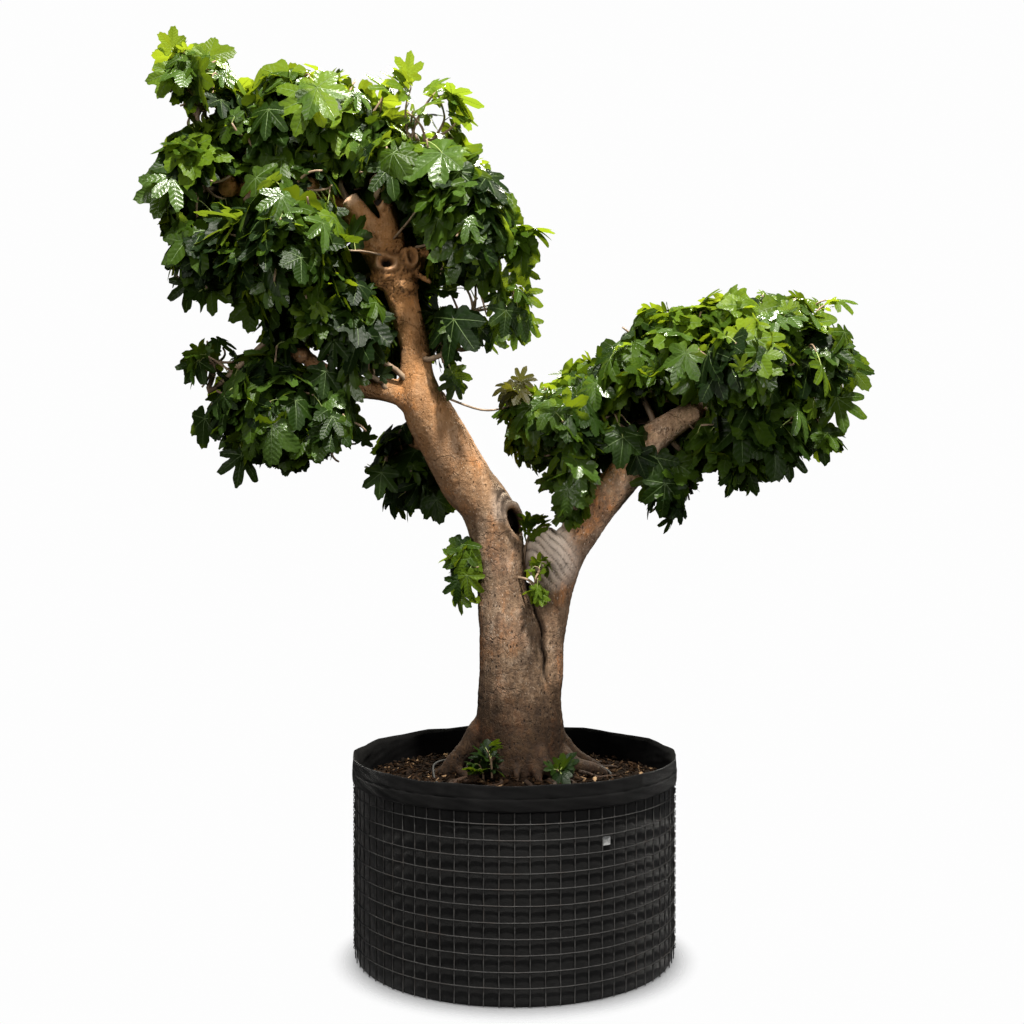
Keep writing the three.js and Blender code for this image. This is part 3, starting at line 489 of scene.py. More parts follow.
def bark_material():
    """Smooth grey-tan bark with warm patches, dark pits and dashes, pale pores and a few thin cracks."""
    paint = Paint("bark", Specular_IOR_Level=0.2)
    broad = paint.noise(3.2, 5, 0.6)
    patches = paint.noise(7.5, 6, 0.62, (1, 1, 0.55))
    mottle = paint.noise(26, 6, 0.7)
    fine = paint.noise(75, 8, 0.7)
    fibres = paint.noise(34, 6, 0.6, (1.0, 1.0, 0.16), 0.4)
    grey = paint.noise(5.1, 4, 0.6, (1.0, 1.0, 0.8))
    dark, plain, pale = (0.215, 0.138, 0.086), (0.32, 0.205, 0.122), (0.40, 0.275, 0.172)
    colour = paint.ramp(broad, (0.34, dark), (0.5, plain), (0.66, pale))
    for pattern, start, end, tint in (
        (patches, (0.49, 0.0), (0.62, 0.85), (0.46, 0.185, 0.058)),
        (grey, (0.5, 0.0), (0.66, 0.75), (0.34, 0.275, 0.215)),
        (mottle, (0.38, 0.65), (0.52, 0.0), (0.17, 0.105, 0.062)),
        (mottle, (0.54, 0.0), (0.7, 0.55), (0.56, 0.43, 0.32)),
        (fibres, (0.40, 0.65), (0.54, 0.0), (0.15, 0.092, 0.056)),
        (fine, (0.38, 0.75), (0.5, 0.0), (0.11, 0.068, 0.044)),
    ):
        colour = paint.over(colour, tint, pattern, start, end)
    # A net of fine lines, pores and pits in places, and a few long cracks.
    net = paint.cells(30, (1.3, 1.3, 0.42), "DISTANCE_TO_EDGE")
    net = paint.sum((paint.ramp(net, (0.0, 1.0), (0.06, 0.0)), paint.ramp(mottle, (0.46, 0.0), (0.62, 0.5))))
    some = paint.ramp(paint.noise(17, 3, 0.6), (0.44, 0.0), (0.56, 1.0))
    pores = paint.sum((paint.ramp(paint.cells(110, (1.2, 1.2, 0.45)), (0.14, 0.6), (0.26, 0.0)), some))
    few = paint.ramp(paint.noise(11, 3, 0.6, (1, 1, 1.3)), (0.42, 0.0), (0.54, 1.0))
    pits = paint.sum((paint.ramp(paint.cells(62, (1.1, 1.1, 0.5)), (0.12, 0.95), (0.22, 0.0)), few))
    gate = paint.ramp(paint.noise(5.2, 3, 0.5), (0.50, 0.0), (0.62, 0.6))
    cracks = paint.sum((paint.ramp(paint.waves(5.0, 9.5, 4, 1.9), (0.0, 1.0), (0.022, 0.0)), gate))
    for share, tint in (
        (net, (0.085, 0.052, 0.033)), (pores, (0.66, 0.54, 0.42)), (pits, (0.06, 0.036, 0.022)),
        (cracks, (0.05, 0.03, 0.02)),
    ):
        colour = paint.mix(share, colour, tint)
    # Paler on the burl (partly its own colour, partly painted light), the head hollows' lower rims (painted
    # light), the knot's folds and the cut end.
    pale = paint.node("ShaderNodeAttribute", attribute_name="pale").outputs["Fac"]
    colour = paint.mix(paint.sum((pale, 0.80)), colour, (0.88, 0.74, 0.61))
    # Painted light on the right stem; the foot browner; stains and painted shade low down; the upper wood warm.
    rise = paint.part(paint.place, "Z")
    foot = paint.span(rise, 1.0, 0.72)
    right = paint.span(paint.part(paint.place, "X"), 0.08, 0.30)
    right = paint.ramp(paint.sum((right, 1.0), (foot, -1.0)), (0.0, 0.0), (1.0, 1.0))
    colour = paint.mix(right, colour, (2.35, 2.35, 2.4), "MULTIPLY")
    colour = paint.mix(foot, colour, (0.80, 0.65, 0.44), "MULTIPLY")
    # Darker low on the trunk: partly stains, partly painted shade under the crown.
    low = paint.span(rise, 0.62, 1.25)
    above = paint.ramp(low, (0.68, 0.0), (1.0, 0.36))
    low = paint.sum((low, 1.0), (mottle, 0.36), (patches, 0.5))
    stain_and_painted_shade = paint.ramp(low, (0.43, 1.0), (0.70, 0.92), (0.81, 0.84), (0.93, 0.60), (1.0, 0.36))
    colour = paint.mix(paint.sum((stain_and_painted_shade, 1.0), (above, -1.0)), colour, (0.10, 0.08, 0.052), "MULTIPLY")
    high = paint.span(rise, 1.45, 2.4)
    warm = paint.sum((paint.ramp(high, (0.0, 0.0), (0.4, 0.34), (1.0, 0.62)), 1.0), (right, -0.32))
    colour = paint.mix(warm, colour, (0.42, 0.185, 0.048))
    # Painted light: the upper wood made lighter, against the crown's shade on it.
    colour = paint.mix(paint.ramp(high, (0.0, 0.0), (0.2, 1.0)), colour, (1.3, 1.3, 1.28), "MULTIPLY")
    # Painted shade: near black in the carved hollows, creases and folds.
    painted_shade = paint.node("ShaderNodeAttribute", attribute_name="painted_shade").outputs["Fac"]
    colour = paint.mix(1.0, paint.mix(painted_shade, colour, (0.016, 0.010, 0.007)), (0.62, 0.62, 0.63), "MULTIPLY")
    height = paint.sum(
        (fine, 0.5), (mottle, 0.5), (fibres, 0.5), (patches, 0.4), (pores, 0.12), (pits, -0.4), (net, -0.3),
        (cracks, -0.6),
    )
    return paint.done(colour, (fine, 0.68, 0.95), height, 0.011)


def leaf_material(name, light, deep, glow, gloss):
    """A leaf: two greens in broad patches, swells between its veins, a soft gloss, and light through it."""
    paint = Paint("leaf_" + name, IOR=1.45, Specular_IOR_Level=0.6 if gloss < 0.3 else 0.14)
    patches = paint.noise(16, 3, 0.6)
    fine = paint.noise(150, 3, 0.6)
    leaf_place = paint.node("ShaderNodeTexCoord").outputs["UV"]
    aside, along = paint.part(leaf_place, "X"), paint.part(leaf_place, "Y")
    slant = paint.sum((along, 46.0), (aside, -38.0))
    swells = paint.node("ShaderNodeMath", {0: slant}, operation="SINE").outputs[0]
    side_veins = paint.ramp(swells, (0.80, 0.0), (0.97, 1.0))
    midrib = paint.ramp(aside, (0.004, 1.0), (0.016, 0.0))
    colour = paint.ramp(patches, (0.36, deep), (0.64, light))
    colour = paint.over(colour, tuple(1.3 * c for c in light), fine, (0.35, 0.0), (0.75, 0.3))
    lines = paint.sum((side_veins, 0.13), (midrib, 0.35))
    colour = paint.mix(lines, colour, tuple(1.5 * c + 0.04 for c in light))
    height = paint.sum((swells, -0.13), (fine, 0.4), (patches, 1.4), (midrib, -0.7))
    through = paint.node("ShaderNodeBsdfTranslucent", {"Color": (*glow, 1)})
    paint.surface(paint.both(0.36, paint.shader, through))
    return paint.done(colour, (patches, gloss - 0.06, gloss + 0.12), height, 0.0030, 0.8)


def plain_material(name, tone, first, second, rough, relief, stops=(0.35, 0.75), **values):
    """One noise between two colours, which also gives the roughness and the relief."""
    paint = Paint(name, **values)
    tone = paint.noise(*tone)
    return paint.done(paint.ramp(tone, (stops[0], first), (stops[1], second)), (tone, *rough), tone, relief)


def stem_material(name, first, second):
    """Plain stems and veins: two colours in streaks."""
    return plain_material(name, (40, 4, 0.6, (1, 1, 0.4)), first, second, (0.5, 0.75), 0.002, (0.35, 0.65))


def fabric_material(name, shine=1.0):
    """Black woven ground-cover fabric, a little dusty, with a fine grid of flat threads."""
    paint = Paint(name, Specular_IOR_Level=0.2 * shine, Sheen_Weight=0.21 * shine, Sheen_Roughness=0.3)
    uv = paint.node("ShaderNodeTexCoord").outputs["UV"]
    weave = paint.sum(*((paint.waves(105, 0.25, 1, 1.0, axis, uv), 0.5) for axis in "XY"))
    dust = paint.noise(3.4, 7, 0.66)
    streaks = paint.noise(9, 6, 0.6, (1, 1, 0.22))
    colour = paint.ramp(dust, (0.3, (0.0018, 0.0018, 0.0020)), (0.7, (0.0048, 0.0048, 0.0049)))
    colour = paint.over(colour, (0.0125, 0.0122, 0.0124), streaks, (0.5, 0.0), (0.75, 0.5))
    colour = paint.over(colour, (0.0012, 0.0012, 0.0013), weave, (0.2, 0.4), (0.7, 0.0))
    height = paint.sum((weave, 0.35), (dust, 0.5), (streaks, 0.4))
    return paint.done(colour, (streaks, 0.58, 0.82), height, 0.0035)


def wire_material():
    """Dark weathered steel wire: dull grey with browner spots, and painted shade where it faces up."""
    paint = Paint("cage_wire", Metallic=0.1, Specular_IOR_Level=0.25)
    wear = paint.noise(70, 6, 0.65)
    colour = paint.ramp(wear, (0.38, (0.024, 0.024, 0.024)), (0.68, (0.060, 0.059, 0.058)))
    colour = paint.over(colour, (0.044, 0.034, 0.028), paint.noise(11, 4, 0.6), (0.52, 0.0), (0.7, 0.55))
    # Painted shade on the faces that look up, which the lamps above light most.
    facing_up = paint.part(paint.node("ShaderNodeTexCoord").outputs["Normal"], "Z")
    colour = paint.mix(paint.ramp(facing_up, (0.05, 0.0), (0.7, 1.0)), colour, (0.42, 0.42, 0.42), "MULTIPLY")
    return paint.done(colour, (wear, 0.55, 0.75), wear, 0.0006)


def mulch_material(name, first, second, third):
    """Soil or bits of bark in three tones, with dark grains."""
    paint = Paint(name, Specular_IOR_Level=0.03)
    tone = paint.noise(22, 6, 0.7)
    grain = paint.noise(260, 5, 0.7)
    colour = paint.ramp(tone, (0.35, first), (0.5, second), (0.68, third))
    colour = paint.over(colour, tuple(0.35 * c for c in first), grain, (0.4, 0.55), (0.6, 0.0))
    return paint.done(colour, (grain, 0.8, 1.0), paint.sum((grain, 0.6), (tone, 0.4)), 0.006)


# ---------------------------------------------------------------- wood

def stations_of(limb, low=0.0, high=1.0, step=0.012):
    """A limb's middle line and radii between two places, in metres, at even steps."""
    stations = np.array(limb, float) * MM
    length = np.linalg.norm(np.diff(stations[:, :3], axis=0), axis=1).sum() * (high - low)
    u = np.linspace(low, high, max(5, int(length / step)))
    radii = np.interp(u * (len(stations) - 1), np.arange(len(stations)), stations[:, 3])
    return curve_through(stations[:, :3], u), radii


def at_height(limb, z):
    """Where along a limb, from 0 to 1, it reaches a height."""
    u = np.linspace(0, 1, 2001)
    heights = curve_through(np.array(limb, float)[:, :3] * MM, u)[:, 2]
    return u[np.argmax(heights >= z)]


def root_stations(degrees, reach, radius):
    """Stations of a low root, from inside the trunk down into the soil."""
    x, y, angle = TRUNK_FOOT[0] / MM, TRUNK_FOOT[1] / MM, math.radians(degrees)
    return [
        (x + distance * math.cos(angle), y + distance * math.sin(angle), z, radius * share)
        for distance, z, share in ((70, 790, 1.2), (126, 706, 1.2), (178, 655, 1), (reach, 612, 0.42))
    ]


LEADER_FOOT = at_height(LEFT_STEM, LEADER_HEIGHT)
LIMB_SPANS = {
    "bough_left": (LEFT_STEM, at_height(LEFT_STEM, FORK_HEIGHT), LEADER_FOOT),
    "leader": (LEFT_STEM, LEADER_FOOT, 1.0),
    "bough_right": (RIGHT_STEM, at_height(RIGHT_STEM, FORK_HEIGHT), 1.0),
    **{name: (stations, 0.0, 1.0) for name, stations in BOUGHS.items()},
}


def add_lump(heap, centre, radii, seed):
    """A knotty ellipsoid: a sphere of rings with a little unevenness."""
    polar, round_ = np.meshgrid(np.linspace(0.08, math.pi - 0.08, 14), turns(22), indexing="ij")
    out = np.stack([np.sin(polar) * np.cos(round_), np.sin(polar) * np.sin(round_), np.cos(polar)], -1)
    swell = np.array([[noise.noise(Vector(p) * 1.6 + Vector((seed, 0, 0))) for p in row] for row in out])
    points = np.array(centre) * MM + out * np.array(radii) * MM * (1 + 0.16 * swell[..., None])
    rows, columns = polar.shape
    caps = np.array([list(range(columns))[::-1], [(rows - 1) * columns + i for i in range(columns)]])
    heap.add(points, grid_faces(rows, columns, True)[:, ::-1], caps[:, ::-1])


def wood_body():
    """Trunk, roots, stubs, boughs and lumps as one skin, which is then carved."""
    heap = Heap()
    for limbs, sides, wobble, seed, *rate in (
        ([CORE, LEFT_STEM, RIGHT_STEM], 28, 0.09, 0, 0.07),
        ([*(root_stations(*root) for root in ROOTS), *SHOWN_ROOTS], 18, 0.18, 20),
        (STUBS, 18, 0.14, 60),
        (BOUGHS.values(), 18, 0.16, 40),
    ):
        for number, limb in enumerate(limbs):
            add_limb(heap, *stations_of(limb), sides, wobble, seed + number, *rate)
    for seed, (centre, radii) in enumerate([KNOT, BURL, HEAD, *HEAD_LUMPS]):
        add_lump(heap, centre, radii, seed)
    rough = shown("rough_wood", heap.mesh("rough_wood"))
    remesh = rough.modifiers.new("remesh", "REMESH")
    remesh.mode, remesh.voxel_size = "VOXEL", WOOD_VOXEL
    smooth = rough.modifiers.new("smooth", "SMOOTH")
    smooth.factor, smooth.iterations = 0.6, 5
    mesh = bpy.data.meshes.new_from_object(rough.evaluated_get(bpy.context.evaluated_depsgraph_get()))
    bpy.data.objects.remove(rough)
    carve(mesh)
    return mesh


def limb_spheres():
    """Spheres that stand for the limbs: middles, radii and the limbs' names."""
    points, radii, names = [], [], []
    spans = {"trunk": (LEFT_STEM, 0.0, LIMB_SPANS["bough_left"][1]), **LIMB_SPANS}
    for name, (stations, low, high) in spans.items():
        path, thick = stations_of(stations, low, high, SPHERE_STEP)
        points.append(path)
        radii.append(thick)
        names += [name] * len(path)
    return np.concatenate(points), np.concatenate(radii), np.array(names)


MIDDLES, THICKS, LIMB_NAMES = limb_spheres()


def read_skin(mesh):
    """A mesh's points and their normals."""
    both = []
    for data, key in ((mesh.vertices, "co"), (mesh.vertex_normals, "vector")):
        values = np.empty(3 * len(mesh.vertices), np.float32)
        data.foreach_get(key, values)
        both.append(values.reshape(-1, 3).astype(float))
    return both


def roughen(points, normals):
    """Lumps, long folds and rings by the limb's thickness, and a fine grain."""
    size = np.empty(len(points))
    for start in range(0, len(points), 4000):
        block = slice(start, start + 4000)
        apart = np.linalg.norm(points[block, None] - MIDDLES[None], axis=2) - THICKS
        size[block] = THICKS[np.argmin(apart, axis=1)]
    size = np.clip(size, 0.02, 0.12)
    out = np.zeros(len(points))
    for i, (x, y, z) in enumerate(points):
        at = Vector((x, y, z))
        out[i] = (
            0.045 * size[i] * noise.noise(at * 9)
            + 0.045 * size[i] * noise.noise(Vector((x * 15, y * 15, z * 2.2)))
            + 0.008 * size[i] * noise.noise(Vector((x * 5, y * 5, z * 46)))
            + 0.0014 * noise.noise(at * 95)
        )
    points += normals * out[:, None]


def hollow_view(points, place, towards):
    """Which way a hollow faces, its sideways direction, and the points' offsets from its middle."""
    facing = unit(towards)
    return facing, unit(np.cross((0, 0, 1), facing)), points - np.array(place)


def darken(dark, near, share):
    """Raises the noted share of painted shade, or of paleness, of the points near a mark to its share."""
    np.maximum(dark, np.where(near, share, 0), out=dark)


def carve_knot(points, normals, dark):
    """The hollow knot with its collar and the wrinkles above it; returns how pale the wrinkles are."""
    facing, aside, offset = hollow_view(points, *KNOT_HOLLOW)
    height = offset[:, 2]
    spread = np.sqrt(((offset @ aside + 0.30 * height) / 0.027) ** 2 + (height / 0.046) ** 2)
    near = (np.abs(offset @ facing) < 0.06) & (normals @ facing > -0.1)
    ripple, begin, end = np.sin(spread * 10), smoothstep(1.3, 1.6, spread), smoothstep(3.4, 2.2, spread)
    lip = 0.015 * bell(spread, 1.5, 0.42) + 0.006 * ripple * begin * end * smoothstep(-0.01, 0.03, height)
    points += facing * (np.where(near, lip - 0.066 * smoothstep(1.12, 0.76, spread), 0))[:, None]
    # Painted shade inside the hollow, and in the valleys between the wrinkles above it.
    darken(dark, near, smoothstep(1.05, 0.8, spread))
    darken(dark, near & (height > -0.01), 0.45 * (smoothstep(0.2, 0.95, -ripple) * begin * end))
    folded = smoothstep(1.1, 1.5, spread) * smoothstep(3.6, 2.2, spread) * smoothstep(-0.02, 0.03, height)
    return np.where(near, 0.55 * folded, 0)


def carve_head_hollows(points, normals, dark):
    """The hollows of the leader's head; returns how pale their rims are and how clear of them points are."""
    rims, calm = np.zeros(len(points)), np.ones(len(points))
    for place, towards, width, height, deep, darkness in HEAD_HOLLOWS:
        facing, aside, offset = hollow_view(points, place, towards)
        spread = np.sqrt((offset @ aside / width) ** 2 + ((offset @ np.cross(facing, aside)) / height) ** 2)
        near = (np.abs(offset @ facing) < 0.05) & (normals @ facing > 0) & (spread < 6)
        spread[near] *= 1 + 0.30 * np.array([noise.noise(Vector(p) * 30) for p in points[near]])
        below = 0.45 + 0.55 * smoothstep(0.012, -0.012, offset[:, 2])
        lip = 0.013 * below * bell(spread, 1.6, 0.42) + 0.005 * bell(spread, 2.9, 0.4)
        points += facing * (np.where(near, lip - deep * smoothstep(1.15, 0.6, spread), 0))[:, None]
        # Painted shade inside each hollow and in the valley round its lip.
        darken(dark, near, darkness * smoothstep(1.1, 0.7, spread))
        darken(dark, near, 0.45 * bell(spread, 2.25, 0.22))
        # Painted light on the rims, most on the lower rim.
        darken(rims, near, 0.6 * darkness * below * bell(spread, 1.5, 0.28))
        calm = np.minimum(calm, np.where(near, smoothstep(1.5, 2.7, spread), 1))
    return rims, calm


def carve_groove(points, normals, dark):
    """The groove between the two stems, at the front."""
    rise = points[:, 2]
    seam = np.interp(rise, [0.92, 0.99, 1.10, 1.19, 1.28, 1.36], [0.112, 0.109, 0.102, 0.091, 0.056, 0.036])
    share = bell(points[:, 0], seam + 0.003 * np.sin(rise * 61), 0.008)
    share = share * smoothstep(0.90, 1.02, rise) * smoothstep(1.38, 1.33, rise) * (normals[:, 1] < -0.1)
    points[:, 1] += 0.032 * share
    # Painted shade along the groove.
    darken(dark, True, 0.85 * smoothstep(0.5, 0.95, share))


def carve_burl(points, normals, dark):
    """The burl's slanting creases; returns how pale the burl is."""
    centre, radii = (np.array(figures) * MM for figures in BURL)
    off = (points - centre) / (1.35 * radii)
    share = np.clip(1.15 - np.linalg.norm(off, axis=1), 0, 0.5) * smoothstep(0.02, 0.06, points[:, 0])
    share *= normals[:, 1] < 0.3
    slant = off[:, 2] * 0.127 + 0.040 * off[:, 0] ** 2 + 0.080 * off[:, 0]
    slant[share > 0] += np.array([0.040 * noise.noise(Vector(p) * 8) for p in points[share > 0]])
    fold = np.abs(np.sin(math.pi * slant / 0.038)) - 0.6
    points += normals * (share * 0.020 * fold)[:, None]
    # Painted shade in the valleys of the creases.
    darken(dark, True, smoothstep(-0.12, -0.52, fold) * smoothstep(0.06, 0.3, share) * 0.6)
    return 2 * share


def curl_head(points, normals, dark, calm):
    """The curled folds of the leader's head, away from its hollows."""
    centre, radii = (np.array(figures) * MM for figures in HEAD)
    share = calm * np.clip(1.1 - np.linalg.norm((points - centre) / (1.6 * radii), axis=1), 0, 1)
    there = share > 0
    share = share[there]
    swirl = np.array([noise.noise(Vector(p) * 20) for p in points[there]])
    curls = np.sin(34 * swirl + 100 * points[there, 2])
    points[there] += normals[there] * (share * (0.026 * swirl + 0.0075 * curls))[:, None]
    # Painted shade in the valleys between the curls.
    dark[there] = np.maximum(dark[there], 0.8 * smoothstep(0.05, 0.3, share) * smoothstep(0.45, 0.98, -curls))


def carve(mesh):
    """Moves the skin's points and notes where shade is painted on it and where it is pale."""
    points, normals = read_skin(mesh)
    roughen(points, normals)
    # How much shade is painted at each point, 0 to 1.
    dark = np.zeros(len(points))
    knot_pale = carve_knot(points, normals, dark)
    rims, calm = carve_head_hollows(points, normals, dark)
    carve_groove(points, normals, dark)
    burl_pale = carve_burl(points, normals, dark)
    cut_end = np.array(STUBS[0][-1][:3]) * MM
    end_pale = smoothstep(0.05, 0.03, np.linalg.norm(points - cut_end, axis=1))
    set_shares(mesh, "pale", np.max([burl_pale, rims, knot_pale, end_pale], axis=0))
    curl_head(points, normals, dark, calm)
    set_shares(mesh, "painted_shade", dark)
    mesh.vertices.foreach_set("co", points.astype(np.float32).ravel())
    mesh.polygons.foreach_set("use_smooth", np.ones(len(mesh.polygons), bool))
    mesh.update()


# ---------------------------------------------------------------- foliage

LEAF_SIDES = 70
LEAF_RINGS = (0.5, 1.0)
# Leaf forms: how far the blade reaches between its lobes, and each lobe's direction in degrees, length and
# half width.
LEAF_FORMS = [
    (0.36, [(0, 1.0, 0.200), (44, 0.90, 0.180), (-46, 0.87, 0.180), (92, 0.68, 0.150), (-95, 0.65, 0.150),
            (140, 0.38, 0.120), (-141, 0.36, 0.120)]),
    (0.47, [(0, 1.0, 0.250), (48, 0.86, 0.215), (-46, 0.89, 0.215), (98, 0.64, 0.170), (-94, 0.66, 0.170),
            (144, 0.40, 0.130), (-141, 0.40, 0.130)]),
    (0.30, [(0, 1.0, 0.165), (41, 0.92, 0.155), (-43, 0.89, 0.155), (86, 0.70, 0.140), (-90, 0.66, 0.140),
            (136, 0.36, 0.110), (-140, 0.34, 0.110)]),
    (0.56, [(0, 1.0, 0.280), (54, 0.78, 0.220), (-55, 0.80, 0.220), (108, 0.54, 0.170), (-108, 0.52, 0.170),
            (148, 0.42, 0.130), (-148, 0.42, 0.130)]),
]
FORM_SHARES = [0.34, 0.26, 0.26, 0.14]
LOBE_BROADEST = 0.62  # of a lobe's length
LOBE_FOOT = 0.50  # of a lobe's greatest width
VEIN_POINTS = 4
YOUNG, BRIGHT, GLOSSY, MID, DEEP, SHADE, RUST = range(7)  # in the order of LEAF_PAINTS
# From young to shade the greens are partly the leaves' own tones, partly painted light and painted shade; rust
# is their own.
# Each green's name, its light and deep colour, the light that shines through, and its roughness.
LEAF_PAINTS = [
    ("young", (0.100, 0.155, 0.014), (0.068, 0.118, 0.009), (0.20, 0.27, 0.02), 0.42),
    ("bright", (0.080, 0.132, 0.008), (0.050, 0.090, 0.005), (0.28, 0.36, 0.015), 0.36),
    ("glossy", (0.052, 0.100, 0.013), (0.034, 0.070, 0.009), (0.22, 0.31, 0.016), 0.27),
    ("mid", (0.032, 0.062, 0.004), (0.020, 0.043, 0.003), (0.24, 0.32, 0.010), 0.34),
    ("deep", (0.013, 0.030, 0.003), (0.008, 0.020, 0.002), (0.12, 0.18, 0.006), 0.36),
    ("shade", (0.007, 0.017, 0.003), (0.004, 0.011, 0.002), (0.06, 0.10, 0.004), 0.40),
    ("rust", (0.036, 0.031, 0.006), (0.022, 0.024, 0.005), (0.12, 0.115, 0.010), 0.40),
]
TIP_AREA = 0.0285  # square metres of a mass's surface for each twig
# How leaves bend, each by chance: the limits, as shares of the length but for the wave's turn.
LEAF_BENDS = {
    "fold": (0.02, 0.24), "droop": (0.0, 0.42), "hang": (-0.08, 0.5), "twist": (-0.22, 0.22),
    "wave": (0, 2 * math.pi),
}
LEAF_CLEARANCE = 0.006  # between a leaf and a limb's skin
SKY_CLEARANCE = 0.012  # round an opening to the sky
SHORTEST_VEINED = 0.09
VEIN_LIFT = 0.0012  # of the veins over the blade
SIDES_PART = 0.05  # x, left and right of which the leaves are pieces of their own
LEAF_TRIES = 7


def lobe_outline(off, length, half):
    """How far a lobe with a rounded end reaches in directions that are off its own by so many radians."""
    along = np.linspace(0.02, 1, 80)
    outer = np.clip((along - LOBE_BROADEST) / (1 - LOBE_BROADEST), 0, 1)
    foot = LOBE_FOOT + (1 - LOBE_FOOT) * smoothstep(0, LOBE_BROADEST, along)
    width = np.where(along < LOBE_BROADEST, foot, 1)
    turn = np.arctan2(half * width * np.sqrt(1 - outer ** 2), length * along)
    off = np.abs(off)
    return length * np.interp(off, turn[::-1], along[::-1], right=0) / np.cos(np.minimum(off, 1.2))


def leaf_form(base, lobes):
    """A flat leaf of unit length in rings: places, how far off and along the nearest rib, and the veins."""
    union = 8  # the higher, the sharper are the notches between the lobes
    angles = np.linspace(-math.pi, math.pi, 721)
    total = np.full(len(angles), base ** union)
    apart = np.full(len(angles), 9.0)
    for towards, length, half in lobes:
        off = (angles - math.radians(towards) + math.pi) % (2 * math.pi) - math.pi
        total += lobe_outline(off, length, half) ** union
        apart = np.where(np.abs(off) < np.abs(apart), off, apart)
    outline = total ** (1 / union)
    outline *= 1 - 0.76 * np.exp(-((math.pi - np.abs(angles)) / 0.26) ** 2)
    outline *= 1 + 0.042 * np.sin(angles * 31 + 7 * base) * smoothstep(0.25, 0.6, outline)
    steps = np.hypot(np.diff(outline * np.cos(angles)), np.diff(outline * np.sin(angles)))
    walked = np.concatenate([[0], np.cumsum(steps)])
    stops = np.interp(np.arange(LEAF_SIDES) / LEAF_SIDES * walked[-1], walked, np.arange(len(angles)))
    counts = np.arange(len(walked))
    angles, outline, apart = (np.interp(stops, counts, values) for values in (angles, outline, apart))
    rows = [np.zeros((1, 4))]
    for share in LEAF_RINGS:
        reach = outline * share
        off = np.clip(apart, -1, 1)
        rows.append(np.stack([
            reach * np.cos(angles), reach * np.sin(angles), reach * np.abs(np.sin(off)), reach * np.cos(off),
        ], -1))
    first = 1 + np.arange(LEAF_SIDES)
    fan = np.stack([np.zeros(LEAF_SIDES, int), first, 1 + (np.arange(LEAF_SIDES) + 1) % LEAF_SIDES], -1)
    quads = 1 + grid_faces(len(LEAF_RINGS), LEAF_SIDES, True)[:, ::-1]
    veins = []
    for towards, length, _ in lobes[:5]:
        angle = math.radians(towards)
        reach = np.linspace(0.02, 0.93, VEIN_POINTS) * length
        half = np.linspace(0.0085, 0.0022, VEIN_POINTS)
        line = np.stack([reach * math.cos(angle), reach * math.sin(angle)], -1)
        square = half[:, None] * np.array((-math.sin(angle), math.cos(angle)))
        veins.append(np.stack([line - square, line + square], 1).reshape(-1, 2))
    return np.concatenate(rows), fan, quads, np.array(veins)


FORMS = [leaf_form(*form) for form in LEAF_FORMS]


def bent(u, v, fold, leaf, at):
    """Where points of flat leaves come to lie: u, v and fold are (leaves, points), leaf holds arrays."""
    length, folded, droop, hang, twist, wave = (leaf[field][at][:, None] for field in ("length", *LEAF_BENDS))
    away = u * u + v * v
    lift = folded * fold - droop * away - hang * v * v + twist * u * v
    lift = lift + 0.035 * np.sqrt(away) * np.sin(5 * np.arctan2(v, u) + wave)
    shrink = 1 - 0.35 * (droop * np.sqrt(away)) ** 2
    along, normal = leaf["direction"][at], leaf["normal"][at]
    across = np.cross(normal, along)
    return (
        leaf["root"][at][:, None]
        + (u * shrink * length)[..., None] * along[:, None]
        + (v * shrink * length)[..., None] * across[:, None]
        + (lift * length)[..., None] * normal[:, None]
    )


def ellipsoid_area(radii):
    """Thomsen's formula."""
    a, b, c = radii
    p = 1.6075
    return 4 * math.pi * (((a * b) ** p + (b * c) ** p + (c * a) ** p) / 3) ** (1 / p)


def spread_directions(count, random):
    """Directions spread evenly over a sphere, each moved a little."""
    i = np.arange(count) + 0.5
    z = 1 - 2 * i / count
    turn = GOLDEN_ANGLE * i + random.random() * 2 * math.pi
    flat = np.sqrt(1 - z * z)
    even = np.stack([flat * np.cos(turn), flat * np.sin(turn), z], -1)
    return unit(even + random.normal(0, 0.13, (count, 3)))


def quadratic(start, bend, end, points):
    """So many points of a curve that leaves start towards bend and comes to end."""
    t = np.linspace(0, 1, points)[:, None]
    return (1 - t) ** 2 * np.asarray(start) + 2 * t * (1 - t) * np.asarray(bend) + t * t * np.asarray(end)


# How surely a leaf is left out in front of each limb that shows through the crown in the front view.
BARE = {"trunk": 1.0, "bough_left": 0.98, "leader": 0.85, "bough_right": 0.95, "bough_upper_left": 0.6}
BARE_SHARE = np.array([BARE.get(name, 0.0) for name in LIMB_NAMES])
# Places where wood shows between the leaves: x, z and radius at the trunk's depth, and how surely each is
# kept open.
WINDOWS = np.array([
    (-1.02, 2.75, 0.056, 0.98), (-0.74, 2.74, 0.047, 0.9), (-0.55, 2.67, 0.061, 0.97),
    (-0.49, 2.55, 0.072, 0.97), (-0.42, 2.50, 0.094, 0.97), (-0.765, 2.15, 0.048, 0.98),
    (-0.72, 2.12, 0.028, 0.5), (-0.805, 1.95, 0.045, 0.98), (-0.59, 2.06, 0.030, 0.3),
    (-0.50, 2.04, 0.045, 0.6), (-0.44, 2.02, 0.040, 0.8), (0.63, 1.93, 0.036, 0.97),
    (0.57, 1.90, 0.058, 0.97), (0.49, 1.85, 0.051, 0.7), (0.42, 1.79, 0.051, 0.6),
    (0.35, 1.70, 0.058, 0.9), (0.16, 1.46, 0.094, 0.97), (0.01, 1.58, 0.065, 1.0),
])
WINDOW_DEPTH = 0.05  # y, in front of which a leaf hides the wood in a window
